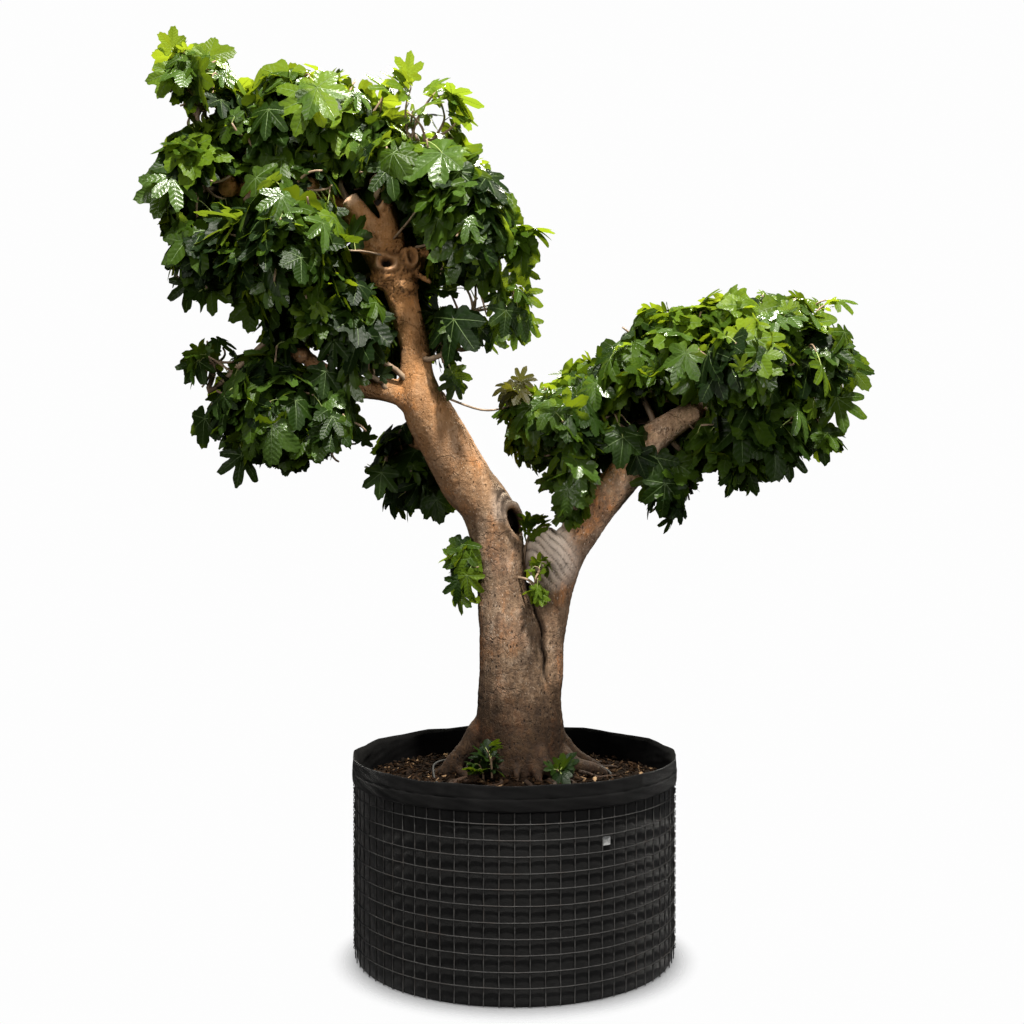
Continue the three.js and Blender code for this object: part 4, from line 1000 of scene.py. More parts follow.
# Places where the sky shows through or beside the crown: x, z and radius at the trunk's depth.
OPEN_SKY = np.array([
    (-0.403, 3.035, 0.023), (-1.041, 2.103, 0.026), (-0.352, 2.962, 0.018), (-0.168, 2.359, 0.036),
    (-0.634, 3.078, 0.010), (-0.334, 2.829, 0.011), (0.442, 1.637, 0.016), (-0.078, 2.294, 0.015),
    (-1.099, 3.024, 0.011), (1.081, 2.208, 0.011), (-0.453, 2.894, 0.011), (-0.074, 2.367, 0.009),
    (-1.013, 2.392, 0.010), (-0.226, 2.341, 0.020), (-0.099, 2.273, 0.020), (-0.294, 2.345, 0.010),
    (-0.259, 2.908, 0.008), (-0.309, 3.135, 0.011), (-0.341, 3.075, 0.008), (0.597, 2.143, 0.007),
    (-1.208, 2.995, 0.033), (-0.247, 2.998, 0.023), (0.005, 2.438, 0.030), (1.121, 1.901, 0.021),
    (-0.579, 1.782, 0.030), (1.262, 2.060, 0.029), (0.695, 1.702, 0.019), (1.088, 1.731, 0.023),
    (1.175, 2.305, 0.022), (1.023, 1.699, 0.026), (-0.536, 1.941, 0.022), (-1.273, 2.540, 0.022),
    (-0.966, 2.305, 0.022),
    (0.828, 2.395, 0.024), (0.005, 2.110, 0.030), (-1.164, 2.323, 0.015), (-1.038, 2.312, 0.018),
    (-1.088, 2.327, 0.020), (-0.475, 3.114, 0.016), (-0.471, 1.912, 0.018), (0.402, 1.594, 0.018),
    (-1.276, 3.078, 0.011), (-1.088, 2.034, 0.016), (1.215, 1.959, 0.020), (0.641, 1.630, 0.018),
    (-0.977, 2.204, 0.018), (0.500, 1.554, 0.015), (-0.175, 1.991, 0.018), (-1.052, 1.775, 0.018),
    (-0.204, 1.540, 0.018), (-1.320, 2.681, 0.016), (-0.125, 2.139, 0.013), (-0.540, 3.136, 0.016),
    (0.023, 2.060, 0.018), (-0.143, 2.937, 0.018), (-0.547, 1.706, 0.015), (-1.233, 2.370, 0.015),
    (-1.33, 3.36, 0.11), (-1.36, 3.19, 0.05), (-1.02, 3.33, 0.10), (-0.80, 3.29, 0.07), (-0.56, 3.30, 0.10),
    (-0.10, 3.20, 0.09), (-0.21, 3.21, 0.05), (-1.125, 2.25, 0.035), (-0.975, 2.26, 0.03),
    (-0.18, 2.14, 0.03), (-0.06, 2.10, 0.03),
    (1.31, 2.28, 0.05), (1.25, 1.93, 0.05), (0.62, 2.43, 0.08), (0.78, 2.45, 0.03), (0.99, 2.44, 0.07),
    (1.10, 2.43, 0.05), (0.30, 2.30, 0.10), (0.11, 2.14, 0.05), (-0.143, 2.40, 0.016), (-1.29, 2.95, 0.03),
    (0.72, 1.66, 0.03), (0.92, 1.66, 0.03), (-0.90, 1.70, 0.04), (-0.63, 1.72, 0.03),
])


def seen_from_the_front(points, sizes):
    """Where points and sizes come to lie in the front view, as tangents."""
    away = points[..., 1:2] - EYE[1]
    return (points[..., ::2] - EYE[::2]) / away, sizes / away[..., 0]


LIMB_VIEW, LIMB_SIZE = seen_from_the_front(MIDDLES, THICKS)
WINDOW_VIEW, WINDOW_SIZE = seen_from_the_front(np.insert(WINDOWS[:, :2], 1, 0, axis=1), WINDOWS[:, 2])
SKY_PLACES = np.insert(OPEN_SKY[:, :2], 1, 0, axis=1)
SKY_VIEW, SKY_SIZE = seen_from_the_front(SKY_PLACES, OPEN_SKY[:, 2] + SKY_CLEARANCE)


def is_blocked(points, random, free):
    """Whether any of a leaf's points is in a limb or an opening to the sky, or hides wood from the front."""
    apart = np.linalg.norm(points[:, None] - MIDDLES[None], axis=2)
    if (apart < THICKS + LEAF_CLEARANCE).any():
        return True
    view, _ = seen_from_the_front(points, np.zeros(len(points)))
    if (np.linalg.norm(view[:, None] - SKY_VIEW[None], axis=2) < SKY_SIZE).any():
        return True
    if free is None or free:
        return False
    depth = points[:, None, 1]
    over_limb = np.linalg.norm(view[:, None] - LIMB_VIEW[None], axis=2) < 1.05 * LIMB_SIZE
    over_limb &= depth < MIDDLES[None, :, 1]
    over_window = np.linalg.norm(view[:, None] - WINDOW_VIEW[None], axis=2) < WINDOW_SIZE
    over_window &= depth < WINDOW_DEPTH
    share = max((BARE_SHARE * over_limb).max(), (WINDOWS[:, 3] * over_window).max())
    return bool(random.random() < share)


ELLIPSOIDS = np.array([(*centre, *radii) for _, _, centre, radii in EVERY_MASS.values()]) * MM
MASS_NAMES = np.array(list(EVERY_MASS))


def beyond(points):
    """How far the farthest of a leaf's points lies out of the crown: 1 on the skin of the nearest mass."""
    off = (points[:, None] - ELLIPSOIDS[None, :, :3]) / ELLIPSOIDS[None, :, 3:]
    return np.linalg.norm(off, axis=2).min(axis=1).max()


# Points of a leaf of unit length that stand for it: along it, across it and along its normal.
PROBES = np.array([
    (0.97, 0.0, -0.15), (0.75, 0.0, -0.1), (0.5, 0.0, -0.05), (0.25, 0.0, 0.0), (0.62, 0.62, -0.1),
    (0.44, 0.44, -0.05), (0.62, -0.62, -0.1), (0.44, -0.44, -0.05), (-0.05, 0.55, -0.05),
    (-0.05, -0.55, -0.05), (0.05, 0.3, 0.0), (0.05, -0.3, 0.0), (0.25, 0.2, 0.0), (0.25, -0.2, 0.0),
    (0.65, 0.2, -0.1), (0.65, -0.2, -0.1),
])


class Growth:
    """The masses' twigs and leaves, grown by one seeded rule."""

    def __init__(self):
        self.leaves = []
        self.twigs, self.petioles = [], []  # (path, radii)

    def twig(self, path, thick, thin):
        self.twigs.append((path, np.linspace(thick, thin, len(path))))

    def leaf(self, random, mass, start, along, level, size, tone, free):
        """Tries to grow a leaf on a petiole from a twig; level is 0 below and 1 at the crown's top."""
        centre, radii = mass
        for attempt in range(LEAF_TRIES):
            turn = unit(np.cross(along, unit(random.normal(0, 1, 3))))
            lean = random.uniform(0.1, 0.8)
            out = unit(turn + along * lean + (0, 0, 0.25 * level))
            outward = unit((start - centre) / radii)
            if out @ outward < -0.3:
                continue
            stalk = size * random.uniform(0.35, 0.6)
            root = start + out * stalk + np.array((0, 0, -0.12 * stalk))
            if size > 0.08:
                drop = random.uniform(0.1, 2.3) * (1.2 - 0.5 * level)
            else:
                drop = random.uniform(-0.6, 0.3)
            ahead = out * 0.8 + outward * (0.45, 0.45, 0.1) + (0, 0, -drop)
            direction = unit(ahead + random.normal(0, 0.25, 3))
            up = np.array((0, 0, 0.7 + 0.4 * level)) + outward * 0.7 + random.normal(0, 0.5, 3)
            normal = up - direction * (up @ direction)
            if np.linalg.norm(normal) < 0.15:
                continue
            normal = unit(normal)
            length = size * (0.94 ** attempt)
            axes = np.array([direction, np.cross(normal, direction), normal])
            probe = root + length * sum(PROBES[:, k:k + 1] * axes[k] for k in range(3))
            limit = math.inf if free is None else (1.25 if free else 1.0) + 0.07 * random.random()
            if beyond(probe) > limit or is_blocked(probe, random, free):
                continue
            self.hang_leaf(random, start, root, direction, normal, length, tone)
            return

    def hang_leaf(self, random, start, root, direction, normal, length, tone):
        """A leaf and its petiole, which leaves the twig at start and ends at the blade's foot."""
        middle = (start + root) / 2 + (0, 0, 0.16 * np.linalg.norm(root - start))
        thin = 0.6 + 0.4 * length / 0.15
        self.petioles.append((quadratic(start, middle, root, 5), np.linspace(0.0026, 0.0019, 5) * thin))
        bends = {name: random.uniform(*limits) for name, limits in LEAF_BENDS.items()}
        form = int(random.choice(len(FORMS), p=FORM_SHARES))
        self.leaves.append(dict(
            root=root, direction=direction, normal=normal, length=length, form=form, tone=tone, **bends,
        ))

    def spray(self, random, mass, path, count, level, size, tone, free=False):
        """Leaves round the outer part of a twig, smaller and brighter at its tip."""
        along = unit(np.gradient(path, axis=0))
        for number in range(count):
            share = 1 - 0.62 * (number / max(1, count - 1)) ** 0.8
            at = share * (len(path) - 1)
            i = min(int(at), len(path) - 2)
            start = path[i] + (path[i + 1] - path[i]) * (at - i)
            fraction = random.uniform(0.42, 0.66) if number == 0 else random.uniform(0.70, 1.18)
            shift = random.choice([-1, 0, 1], p=[0.55, 0.45, 0.0] if number == 0 else [0.14, 0.70, 0.16])
            own_tone = tone if tone == RUST else int(np.clip(tone + shift, min(BRIGHT, tone), SHADE))
            self.leaf(random, mass, start, along[i], level, size * fraction, own_tone, free)


def stalk_path(name, random):
    """A mass's stalk from its limb to the hub near its middle."""
    limb, share, centre, radii = EVERY_MASS[name]
    stations, low, high = LIMB_SPANS[limb]
    u = low + (high - low) * share
    near = curve_through(np.array(stations, float)[:, :3] * MM, [max(0, u - 0.02), u])
    start, along = near[1], unit(near[1] - near[0])
    centre, radii = (np.array(figures) * MM for figures in (centre, radii))
    hub = centre - (0, 0, 0.16 * radii[2])
    reach = np.linalg.norm(hub - start)
    if share == 1:
        early = start + along * 0.3 * reach
    else:
        early = start + (hub - start) * 0.35 + random.normal(0, 0.02, 3)
    late = hub - (0, 0, 0.22 * reach) + random.normal(0, 0.015, 3)
    half_way = (early + late) / 2 + random.normal(0, 0.012, 3)
    return curve_through([start, early, half_way, late, hub], np.linspace(0, 1, 14))


# The two crowns: middle and half height; a spray's green follows its place in its crown, as painted light and
# shade.
CROWNS = [((-0.62, 0.05, 2.62), 0.62), ((0.68, 0.05, 2.03), 0.40)]


def tone_of(tip, inner, random):
    """Which green a spray gets: painted light on the crown's top, painted shade below and inside, otherwise by
    chance.
    """
    middle, half = min(CROWNS, key=lambda crown: np.linalg.norm(tip[[0, 2]] - np.array(crown[0])[[0, 2]]))
    rise = (tip[2] - middle[2]) / half
    light = 0.45 * rise - inner + random.normal(0, 0.52)
    return int(np.searchsorted([-1.2, -0.66, -0.22, 0.26, 0.62], -light))


def burial(point, name):
    """How deep a point is inside the nearest other mass: 1 at its middle, 0 outside it."""
    off = np.linalg.norm((point - ELLIPSOIDS[:, :3]) / ELLIPSOIDS[:, 3:], axis=1)
    return max(0.0, 1 - off[MASS_NAMES != name].min())


def leaf_size(name, centre, small):
    """How long a mass's leaves are: short in tufts, longer on the left and longest above."""
    if small:
        return 0.072 if name == "crotch_tuft" else 0.108
    if centre[0] > 0:
        return 0.124
    return 0.160 if centre[2] > 2.4 else 0.142


def grow_mass(growth, number, name):
    """A mass: its stalk, the shoots from its hub, and a twig with a spray of leaves for each bit of skin."""
    random = np.random.default_rng(SEED + SEED_STEP * number)
    centre, radii = (np.array(figures) * MM for figures in EVERY_MASS[name][2:])
    small = radii.min() < SMALL_MASS and name in MASSES
    stalk_foot, shoot_foot, shoot_tip, twig_foot, twig_tip = SMALL_WOOD if small else USUAL_WOOD
    stalk = stalk_path(name, random)
    growth.twig(stalk, stalk_foot, shoot_foot)
    count = max(6, round(ellipsoid_area(radii) / TIP_AREA))
    towards = spread_directions(count, random)
    shares = random.uniform(0.62, 0.86, count)
    inner = random.random(count) < 0.16
    shares[inner] *= 0.55
    tips = centre + towards * radii * shares[:, None]
    shoots = max(2, round(count / 4.5))
    heads = unit(spread_directions(shoots, random) + (0, 0, 0.25))
    owner = np.argmax(towards @ heads.T, axis=1)
    hub = stalk[-1]
    for shoot in range(shoots):
        own = np.flatnonzero(owner == shoot)
        if not len(own):
            continue
        end = hub + (tips[own].mean(axis=0) - hub) * random.uniform(0.42, 0.6) + (0, 0, 0.02)
        bend = hub + (end - hub) * 0.5 + random.normal(0, 0.02, 3) + (0, 0, 0.02)
        path = quadratic(hub, bend, end, 7)
        growth.twig(path, shoot_foot, shoot_tip)
        for tip in own:
            if burial(tips[tip], name) > 0.5 and random.random() < 0.6:
                continue
            start = path[random.integers(3, 7)]
            turn = start + (tips[tip] - start) * 0.5 + unit(path[-1] - path[-2]) * 0.03
            turn = turn + random.normal(0, 0.015, 3)
            last = tips[tip] + (0, 0, 0.02 * random.random())
            twig = quadratic(start, turn, last, 7)
            growth.twig(twig, twig_foot, twig_tip)
            tone = tone_of(tips[tip], 0.5 if inner[tip] else 0.0, random)
            if small:
                tone = BRIGHT if name == "crotch_tuft" else int(random.choice([BRIGHT, GLOSSY, MID]))
            level = np.clip(0.5 + 0.5 * towards[tip][2], 0, 1)
            size = leaf_size(name, centre, small) * random.uniform(0.85, 1.15)
            growth.spray(random, (centre, radii), twig, int(random.integers(5, 9)), level, size, tone, small)


# Twigs that stand free of the masses: points in metres, radius at the foot, leaves, their size and tone.
FREE_TWIGS = [
    ([(-0.275, 0.0, 2.010), (-0.12, -0.06, 1.952), (-0.02, -0.07, 1.962), (0.03, -0.06, 1.985)],
     0.0045, 3, 0.085, DEEP),
    ([(0.03, -0.06, 1.985), (0.02, -0.10, 2.02), (-0.01, -0.12, 2.03)], 0.003, 3, 0.085, RUST),
    ([(-0.30, 0.0, 2.50), (-0.33, -0.03, 2.68), (-0.375, -0.04, 2.90), (-0.39, -0.03, 3.02),
      (-0.37, -0.02, 3.11)],
     0.007, 10, 0.115, BRIGHT),
    ([(-0.375, -0.04, 2.90), (-0.34, -0.05, 3.00), (-0.27, -0.05, 3.09), (-0.22, -0.04, 3.08)],
     0.005, 7, 0.11, GLOSSY),
    ([(1.02, 0.0, 2.12), (1.06, -0.01, 2.24), (1.09, -0.01, 2.31), (1.12, -0.01, 2.335)],
     0.005, 5, 0.070, BRIGHT),
    ([(0.84, 0.0, 2.18), (0.885, -0.02, 2.30), (0.89, -0.02, 2.365)], 0.005, 5, 0.070, YOUNG),
    ([(-1.12, -0.05, 3.05), (-1.20, -0.05, 3.14), (-1.215, -0.05, 3.21)], 0.006, 7, 0.11, BRIGHT),
    ([(-0.35, -0.06, 2.53), (-0.27, -0.12, 2.535), (-0.19, -0.14, 2.55), (-0.14, -0.14, 2.58)],
     0.0055, 4, 0.10, BRIGHT),
    ([(-0.43, -0.06, 2.56), (-0.36, -0.14, 2.62), (-0.29, -0.17, 2.71), (-0.27, -0.17, 2.75)],
     0.0050, 3, 0.11, DEEP),
    ([(-0.45, -0.04, 2.50), (-0.53, -0.12, 2.505), (-0.61, -0.16, 2.50)], 0.0040, 3, 0.11, DEEP),
    ([(-0.10, -0.02, 2.58), (-0.02, -0.05, 2.60), (0.01, -0.06, 2.56)], 0.004, 5, 0.11, MID),
    ([(-1.00, -0.04, 2.08), (-1.07, -0.08, 2.13), (-1.10, -0.08, 2.14)], 0.005, 6, 0.09, MID),
    ([(-1.06, -0.06, 2.02), (-0.99, -0.10, 1.98), (-0.95, -0.12, 1.90)], 0.005, 5, 0.12, DEEP),
    ([(0.52, -0.02, 1.70), (0.53, -0.06, 1.65), (0.54, -0.07, 1.63)], 0.004, 2, 0.10, DEEP),
    ([(1.04, -0.02, 1.98), (1.09, -0.06, 1.90), (1.10, -0.06, 1.87)], 0.004, 5, 0.10, MID),
    ([(0.035, 0.04, 1.40), (0.040, 0.02, 1.46), (0.052, 0.00, 1.505)], 0.003, 4, 0.060, BRIGHT),
    ([(-0.10, -0.02, 2.52), (-0.04, -0.05, 2.43), (0.0, -0.06, 2.34)], 0.004, 5, 0.105, MID),
    ([(-0.16, -0.02, 2.46), (-0.12, -0.05, 2.36), (-0.10, -0.06, 2.29)], 0.004, 4, 0.105, DEEP),
    ([(0.040, 0.07, 1.42), (0.052, 0.06, 1.49), (0.060, 0.05, 1.55)], 0.003, 7, 0.060, MID),
]
# Shoots from the foot of the trunk: foot in metres, and height.
BASAL_SHOOTS = [((-0.080, -0.125, 0.65), 0.11), ((-0.110, -0.110, 0.64), 0.06), ((0.165, -0.105, 0.64), 0.05)]
# Leaves that show singly at the front: foot of the blade in metres, direction in the front view, length
# and green.
SINGLE_LEAVES = [
    ((-0.70, -0.20, 3.02), 200, 0.190, BRIGHT), ((-0.68, -0.22, 3.05), -60, 0.160, GLOSSY),
    ((-0.85, -0.20, 2.98), -95, 0.140, DEEP), ((-0.25, -0.20, 2.83), 215, 0.190, GLOSSY),
    ((-0.19, -0.22, 2.76), -90, 0.180, DEEP), ((-0.655, -0.16, 2.63), -80, 0.140, DEEP),
    ((-0.73, -0.20, 2.67), -105, 0.160, MID), ((-0.89, -0.22, 2.74), -45, 0.150, MID),
    ((-0.21, -0.17, 2.26), -100, 0.195, SHADE), ((-0.55, -0.17, 2.27), -35, 0.190, SHADE),
    ((-0.54, -0.17, 2.20), -110, 0.170, SHADE), ((-0.03, -0.10, 2.30), -95, 0.115, DEEP),
    ((0.02, -0.08, 2.27), -70, 0.105, DEEP), ((-0.07, -0.08, 2.24), -110, 0.110, SHADE),
    ((0.035, -0.06, 2.37), -85, 0.110, MID), ((-0.02, -0.08, 2.42), -100, 0.115, MID),
    ((0.045, -0.06, 2.27), -95, 0.105, MID), ((-0.005, -0.07, 2.24), -85, 0.100, MID),
    ((-0.13, -0.08, 2.25), -95, 0.110, SHADE), ((-0.06, -0.07, 2.36), -75, 0.115, DEEP),
    ((0.02, -0.05, 2.46), -70, 0.110, MID), ((0.78, -0.24, 1.90), -92, 0.190, DEEP),
    ((0.89, -0.22, 1.85), -84, 0.190, DEEP), ((0.76, -0.16, 1.73), -95, 0.110, DEEP),
    ((0.58, -0.30, 2.13), -112, 0.140, GLOSSY), ((0.61, -0.28, 2.05), -98, 0.130, GLOSSY),
    ((1.05, -0.25, 2.09), -70, 0.130, BRIGHT), ((1.18, -0.05, 2.15), -22, 0.120, MID),
    ((1.20, -0.05, 2.10), -50, 0.120, DEEP), ((1.14, -0.10, 1.99), -82, 0.160, MID),
    ((-1.09, -0.20, 3.10), -80, 0.170, DEEP), ((-1.20, -0.15, 3.12), -110, 0.120, BRIGHT),
    ((-1.16, -0.15, 3.17), -60, 0.110, MID), ((-1.22, -0.20, 2.72), -100, 0.140, GLOSSY),
    ((-1.18, -0.22, 2.74), -70, 0.150, GLOSSY), ((-0.83, -0.25, 1.89), -95, 0.170, GLOSSY),
    ((-0.89, -0.20, 1.88), -115, 0.140, MID), ((-1.11, -0.22, 2.51), -100, 0.170, MID),
    ((-0.49, 0.10, 1.73), -95, 0.120, DEEP), ((0.43, -0.12, 1.86), -100, 0.130, DEEP),
    ((0.43, -0.12, 1.79), -70, 0.110, SHADE), ((-0.43, -0.18, 2.79), -82, 0.160, DEEP),
    ((-0.42, -0.20, 2.83), -60, 0.150, MID), ((-0.43, -0.16, 2.83), -110, 0.140, SHADE),
    ((-0.77, -0.16, 2.72), -70, 0.120, SHADE), ((-0.22, -0.10, 2.08), -60, 0.100, MID),
    ((-0.21, -0.10, 2.05), -110, 0.090, DEEP), ((-0.29, 0.15, 1.63), -80, 0.110, DEEP),
    ((0.18, -0.14, 1.80), -110, 0.140, BRIGHT), ((0.22, -0.16, 1.75), -80, 0.130, GLOSSY),
    ((0.22, -0.16, 1.77), -40, 0.120, GLOSSY), ((0.19, -0.16, 1.67), -100, 0.120, GLOSSY),
    ((-0.02, -0.12, 2.03), 195, 0.080, RUST), ((0.00, -0.12, 2.04), -75, 0.085, RUST),
    ((0.02, -0.12, 2.05), 70, 0.070, RUST), ((-0.03, -0.12, 2.01), -115, 0.080, RUST),
    ((0.03, -0.12, 2.05), 20, 0.060, RUST), ((-0.63, -0.16, 2.19), -95, 0.130, DEEP),
    ((-0.52, -0.15, 2.20), -100, 0.160, SHADE), ((-0.57, -0.15, 2.12), -80, 0.120, MID),
    ((-0.66, -0.15, 2.08), -95, 0.120, DEEP), ((-0.12, -0.12, 2.44), -80, 0.120, MID),
    ((0.04, -0.06, 2.55), -75, 0.130, DEEP), ((0.03, -0.10, 2.52), -95, 0.120, MID),
    ((-0.16, -0.02, 1.42), -80, 0.115, BRIGHT), ((-0.18, 0.00, 1.43), -100, 0.120, MID),
    ((-0.215, 0.01, 1.41), -112, 0.110, DEEP), ((-0.17, -0.04, 1.36), -88, 0.110, BRIGHT),
    ((-0.20, -0.02, 1.34), -98, 0.100, DEEP), ((0.33, 0.02, 1.85), -95, 0.150, SHADE),
    ((0.37, 0.03, 1.83), -80, 0.140, DEEP), ((0.30, 0.03, 1.80), -105, 0.120, SHADE),
    ((0.42, 0.06, 1.86), -90, 0.150, SHADE), ((1.15, -0.03, 2.345), 4, 0.100, BRIGHT),
    ((1.06, -0.03, 2.34), 165, 0.080, BRIGHT), ((-0.965, -0.10, 1.79), -95, 0.140, DEEP),
    ((-1.10, -0.08, 1.92), -100, 0.130, DEEP), ((-1.15, -0.10, 2.40), -95, 0.130, DEEP),
    ((-1.07, -0.10, 2.38), -85, 0.130, MID), ((-0.93, -0.10, 2.33), -90, 0.140, MID),
    ((-1.08, -0.10, 3.19), 20, 0.120, MID), ((0.96, -0.10, 1.80), -85, 0.130, DEEP),
    ((1.08, -0.10, 1.86), -80, 0.130, DEEP), ((0.38, -0.14, 1.85), -95, 0.130, DEEP),
    ((0.50, -0.12, 1.78), -105, 0.150, DEEP), ((0.57, -0.12, 1.76), -80, 0.150, MID),
    ((0.53, -0.13, 1.69), -95, 0.150, DEEP), ((0.49, -0.10, 1.71), -120, 0.120, MID),
    ((0.56, 0.08, 1.85), -90, 0.130, SHADE), ((0.60, 0.08, 1.86), -70, 0.130, SHADE),
    ((0.045, 0.10, 1.42), -90, 0.100, MID), ((-1.22, -0.05, 3.24), 80, 0.090, BRIGHT),
    ((-0.45, -0.03, 3.10), 150, 0.110, BRIGHT), ((-0.38, -0.03, 3.15), 80, 0.100, BRIGHT),
    ((-0.30, -0.03, 3.10), 40, 0.100, BRIGHT),
]


def grow_single_leaves(growth):
    """Each single leaf hangs on a twig that comes from the nearest twig behind it."""
    random = np.random.default_rng(SEED - 2)
    ends = np.array([path[-1] for path, _ in growth.twigs])
    for foot, degrees, length, tone in SINGLE_LEAVES:
        foot = np.array(foot)
        angle = math.radians(degrees)
        direction = unit((math.cos(angle), random.uniform(-0.45, 0.1), math.sin(angle)))
        up = np.array((0, -0.7, 0.7)) + random.normal(0, 0.3, 3)
        normal = unit(up - direction * (up @ direction))
        behind = ends[:, 1] > foot[1] + 0.02
        nearest = ends[behind][np.argmin(np.linalg.norm(ends[behind] - foot, axis=1))]
        start = foot + unit(nearest - foot) * 0.4 * length + (0, 0, 0.02)
        growth.twig(quadratic(nearest, (nearest + start) / 2 + (0, 0, 0.03), start, 6), 0.0036, 0.0028)
        growth.hang_leaf(random, start, foot, direction, normal, 0.84 * length, tone)


def grow_extras(growth):
    """The twigs that stand free of the masses, and the shoots from the foot of the trunk."""
    random = np.random.default_rng(SEED - 1)
    for stations, thick, count, size, tone in FREE_TWIGS:
        path = curve_through(stations, np.linspace(0, 1, 16))
        growth.twig(path, thick, 0.0032)
        around = (path[7] - (0, 0, 0.08), np.array((0.21, 0.21, 0.21)))
        growth.spray(random, around, path[7:], count, 0.8, size, tone, None)
    for foot, height in BASAL_SHOOTS:
        foot = np.array(foot)
        for _ in range(2):
            lean = random.normal(0, 0.025), random.normal(-0.02, 0.02)
            top = foot + (*lean, height * random.uniform(0.7, 1.0))
            path = quadratic(foot, foot + (0, 0, height * 0.6), top, 7)
            growth.twig(path, 0.0035, 0.002)
            around = (foot, np.array((0.12, 0.12, 0.12)))
            growth.spray(random, around, path[2:], 4, 0.6, 0.055, SHADE, None)


def leaf_pieces(leaves):
    """Leaves of each green for each side of the tree, with their places by the ribs as UVs, and the ribs."""
    leaf = {field: np.array([one[field] for one in leaves]) for field in leaves[0]}
    right = leaf["root"][:, 0] > SIDES_PART
    for tone, paint in enumerate(LEAF_PAINTS):
        material = leaf_material(*paint)
        for side, there in (("left", ~right), ("right", right)):
            heap, places = Heap(), []
            for form, (flat, fan, quads, _) in enumerate(FORMS):
                at = np.flatnonzero((leaf["form"] == form) & (leaf["tone"] == tone) & there)
                if not len(at):
                    continue
                u, v, fold = (np.broadcast_to(flat[:, k], (len(at), len(flat))) for k in range(3))
                faces = (copies(some, len(at), len(flat)) for some in (fan, quads))
                heap.add(bent(u, v, fold, leaf, at), *faces)
                places.append(np.tile(flat[:, 2:], (len(at), 1)))
            if places:
                name = f"leaves_{paint[0]}_{side}"
                mesh = heap.mesh(name)
                set_uvs(mesh, "aside_and_along", np.concatenate(places)[corner_vertices(mesh)])
                piece(name, mesh, material)
    veins = Heap()
    for form, (_, _, _, ribs) in enumerate(FORMS):
        at = np.flatnonzero((leaf["form"] == form) & (leaf["length"] > SHORTEST_VEINED))
        for line in ribs:
            u, v = (np.broadcast_to(line[:, k], (len(at), len(line))) for k in range(2))
            points = bent(u, v, np.zeros_like(u), leaf, at) + VEIN_LIFT * leaf["normal"][at][:, None]
            veins.add(points, copies(grid_faces(VEIN_POINTS, 2, False), len(at), len(line)))
    green = stem_material("leaf_vein", (0.050, 0.092, 0.016), (0.085, 0.138, 0.028))
    piece("leaf_veins", veins, green)


def grow_foliage():
    """All of the foliage, in the order in which it is grown, and its pieces."""
    growth = Growth()
    for number, name in enumerate(EVERY_MASS):
        grow_mass(growth, number, name)
    grow_extras(growth)
    grow_single_leaves(growth)
    leaf_pieces(growth.leaves)
    petioles = Heap()
    add_tubes(petioles, *(np.array(values) for values in zip(*growth.petioles)), 3)
    piece("petioles", petioles, stem_material("petiole", (0.16, 0.22, 0.05), (0.26, 0.30, 0.08)))
    twigs = Heap()
    for path, radii in growth.twigs:
        add_limb(twigs, path, radii, 6, 0.10, len(path))
    bark = stem_material("twig_bark", (0.13, 0.085, 0.05), (0.25, 0.175, 0.11))
    piece("twigs", twigs, bark, [f"foliage_{name}" for name in MASSES])


# ---------------------------------------------------------------- pot

def uneven(x, seed, octaves=((3, 1.0), (7, 0.5), (17, 0.25))):
    """Smooth periodic unevenness of an angle, about -1 to 1."""
    random = np.random.default_rng(seed)
    total = np.zeros_like(x)
    for rate, weight in octaves:
        total += weight * np.sin(rate * x + random.uniform(0, 2 * math.pi))
    return total / sum(weight for _, weight in octaves)


def add_uv(mesh, columns, heights, width):
    """UVs of a turned grid, in metres round and up, so that the weave has its real size."""
    corners = corner_vertices(mesh)
    face = ((corners % columns) / columns * width).reshape(-1, 4)
    at_seam = face.max(axis=1, keepdims=True) - face.min(axis=1, keepdims=True) > width / 2
    face = np.where(at_seam & (face < width / 2), face + width, face)
    set_uvs(mesh, "round_and_up", np.stack([face.ravel(), heights[corners // columns]], -1))


def turned(name, profile, columns, shift):
    """A turned sheet: profile is (radius, height) rows, and shift gives what is added round each row."""
    profile = np.array(profile, float)
    angles = turns(columns)
    rows = []
    for radius, z in profile:
        more, rise = shift(angles, radius, z)
        rows.append(round_axis(radius + more, angles, z + rise))
    heap = Heap()
    heap.add(np.array(rows), grid_faces(len(profile), columns, True))
    mesh = heap.mesh(name)
    steps = np.concatenate([[0], np.cumsum(np.linalg.norm(np.diff(profile, axis=0), axis=1))])
    add_uv(mesh, columns, steps, 2 * math.pi * CAGE_RADIUS)
    return mesh


def liner_mesh():
    """The floor and the wall, which bulges a little through every square of mesh and tucks in at its foot."""
    heights = np.concatenate([[0.0, 0.001, 0.005, 0.012], np.linspace(0.018, CAGE_TOP, 85)])
    tuck = 0.004 * (1 - smoothstep(0.0, 0.020, heights)) ** 2
    profile = np.stack([CAGE_RADIUS - WIRE / 2 - 0.0022 - tuck, heights], -1)
    profile = np.vstack([[[0.02, 0.0], [0.3, 0.0], [0.5, 0.0]], profile])

    def shift(angles, radius, z):
        across = np.abs(np.sin(angles * WIRES_ROUND / 2))
        up = abs(math.sin(math.pi * (z - FIRST_HOOP) / HOOP_PITCH))
        wrinkle = 0.0011 * uneven(angles + 3 * z, 5, ((5, 1.0), (13, 0.8), (31, 0.6))) * math.sin(40 * z + 2)
        pillow = 0.0019 * across ** 0.7 * up ** 0.7
        dent = 0.0012 * uneven(angles, int(z * 60) + 9, ((9, 1.0), (26, 0.7)))
        is_wall = float(radius > 0.52)
        return is_wall * (pillow + wrinkle + np.minimum(dent, 0)), 0

    return turned("liner_wall", profile, WIRES_ROUND * 6, shift)


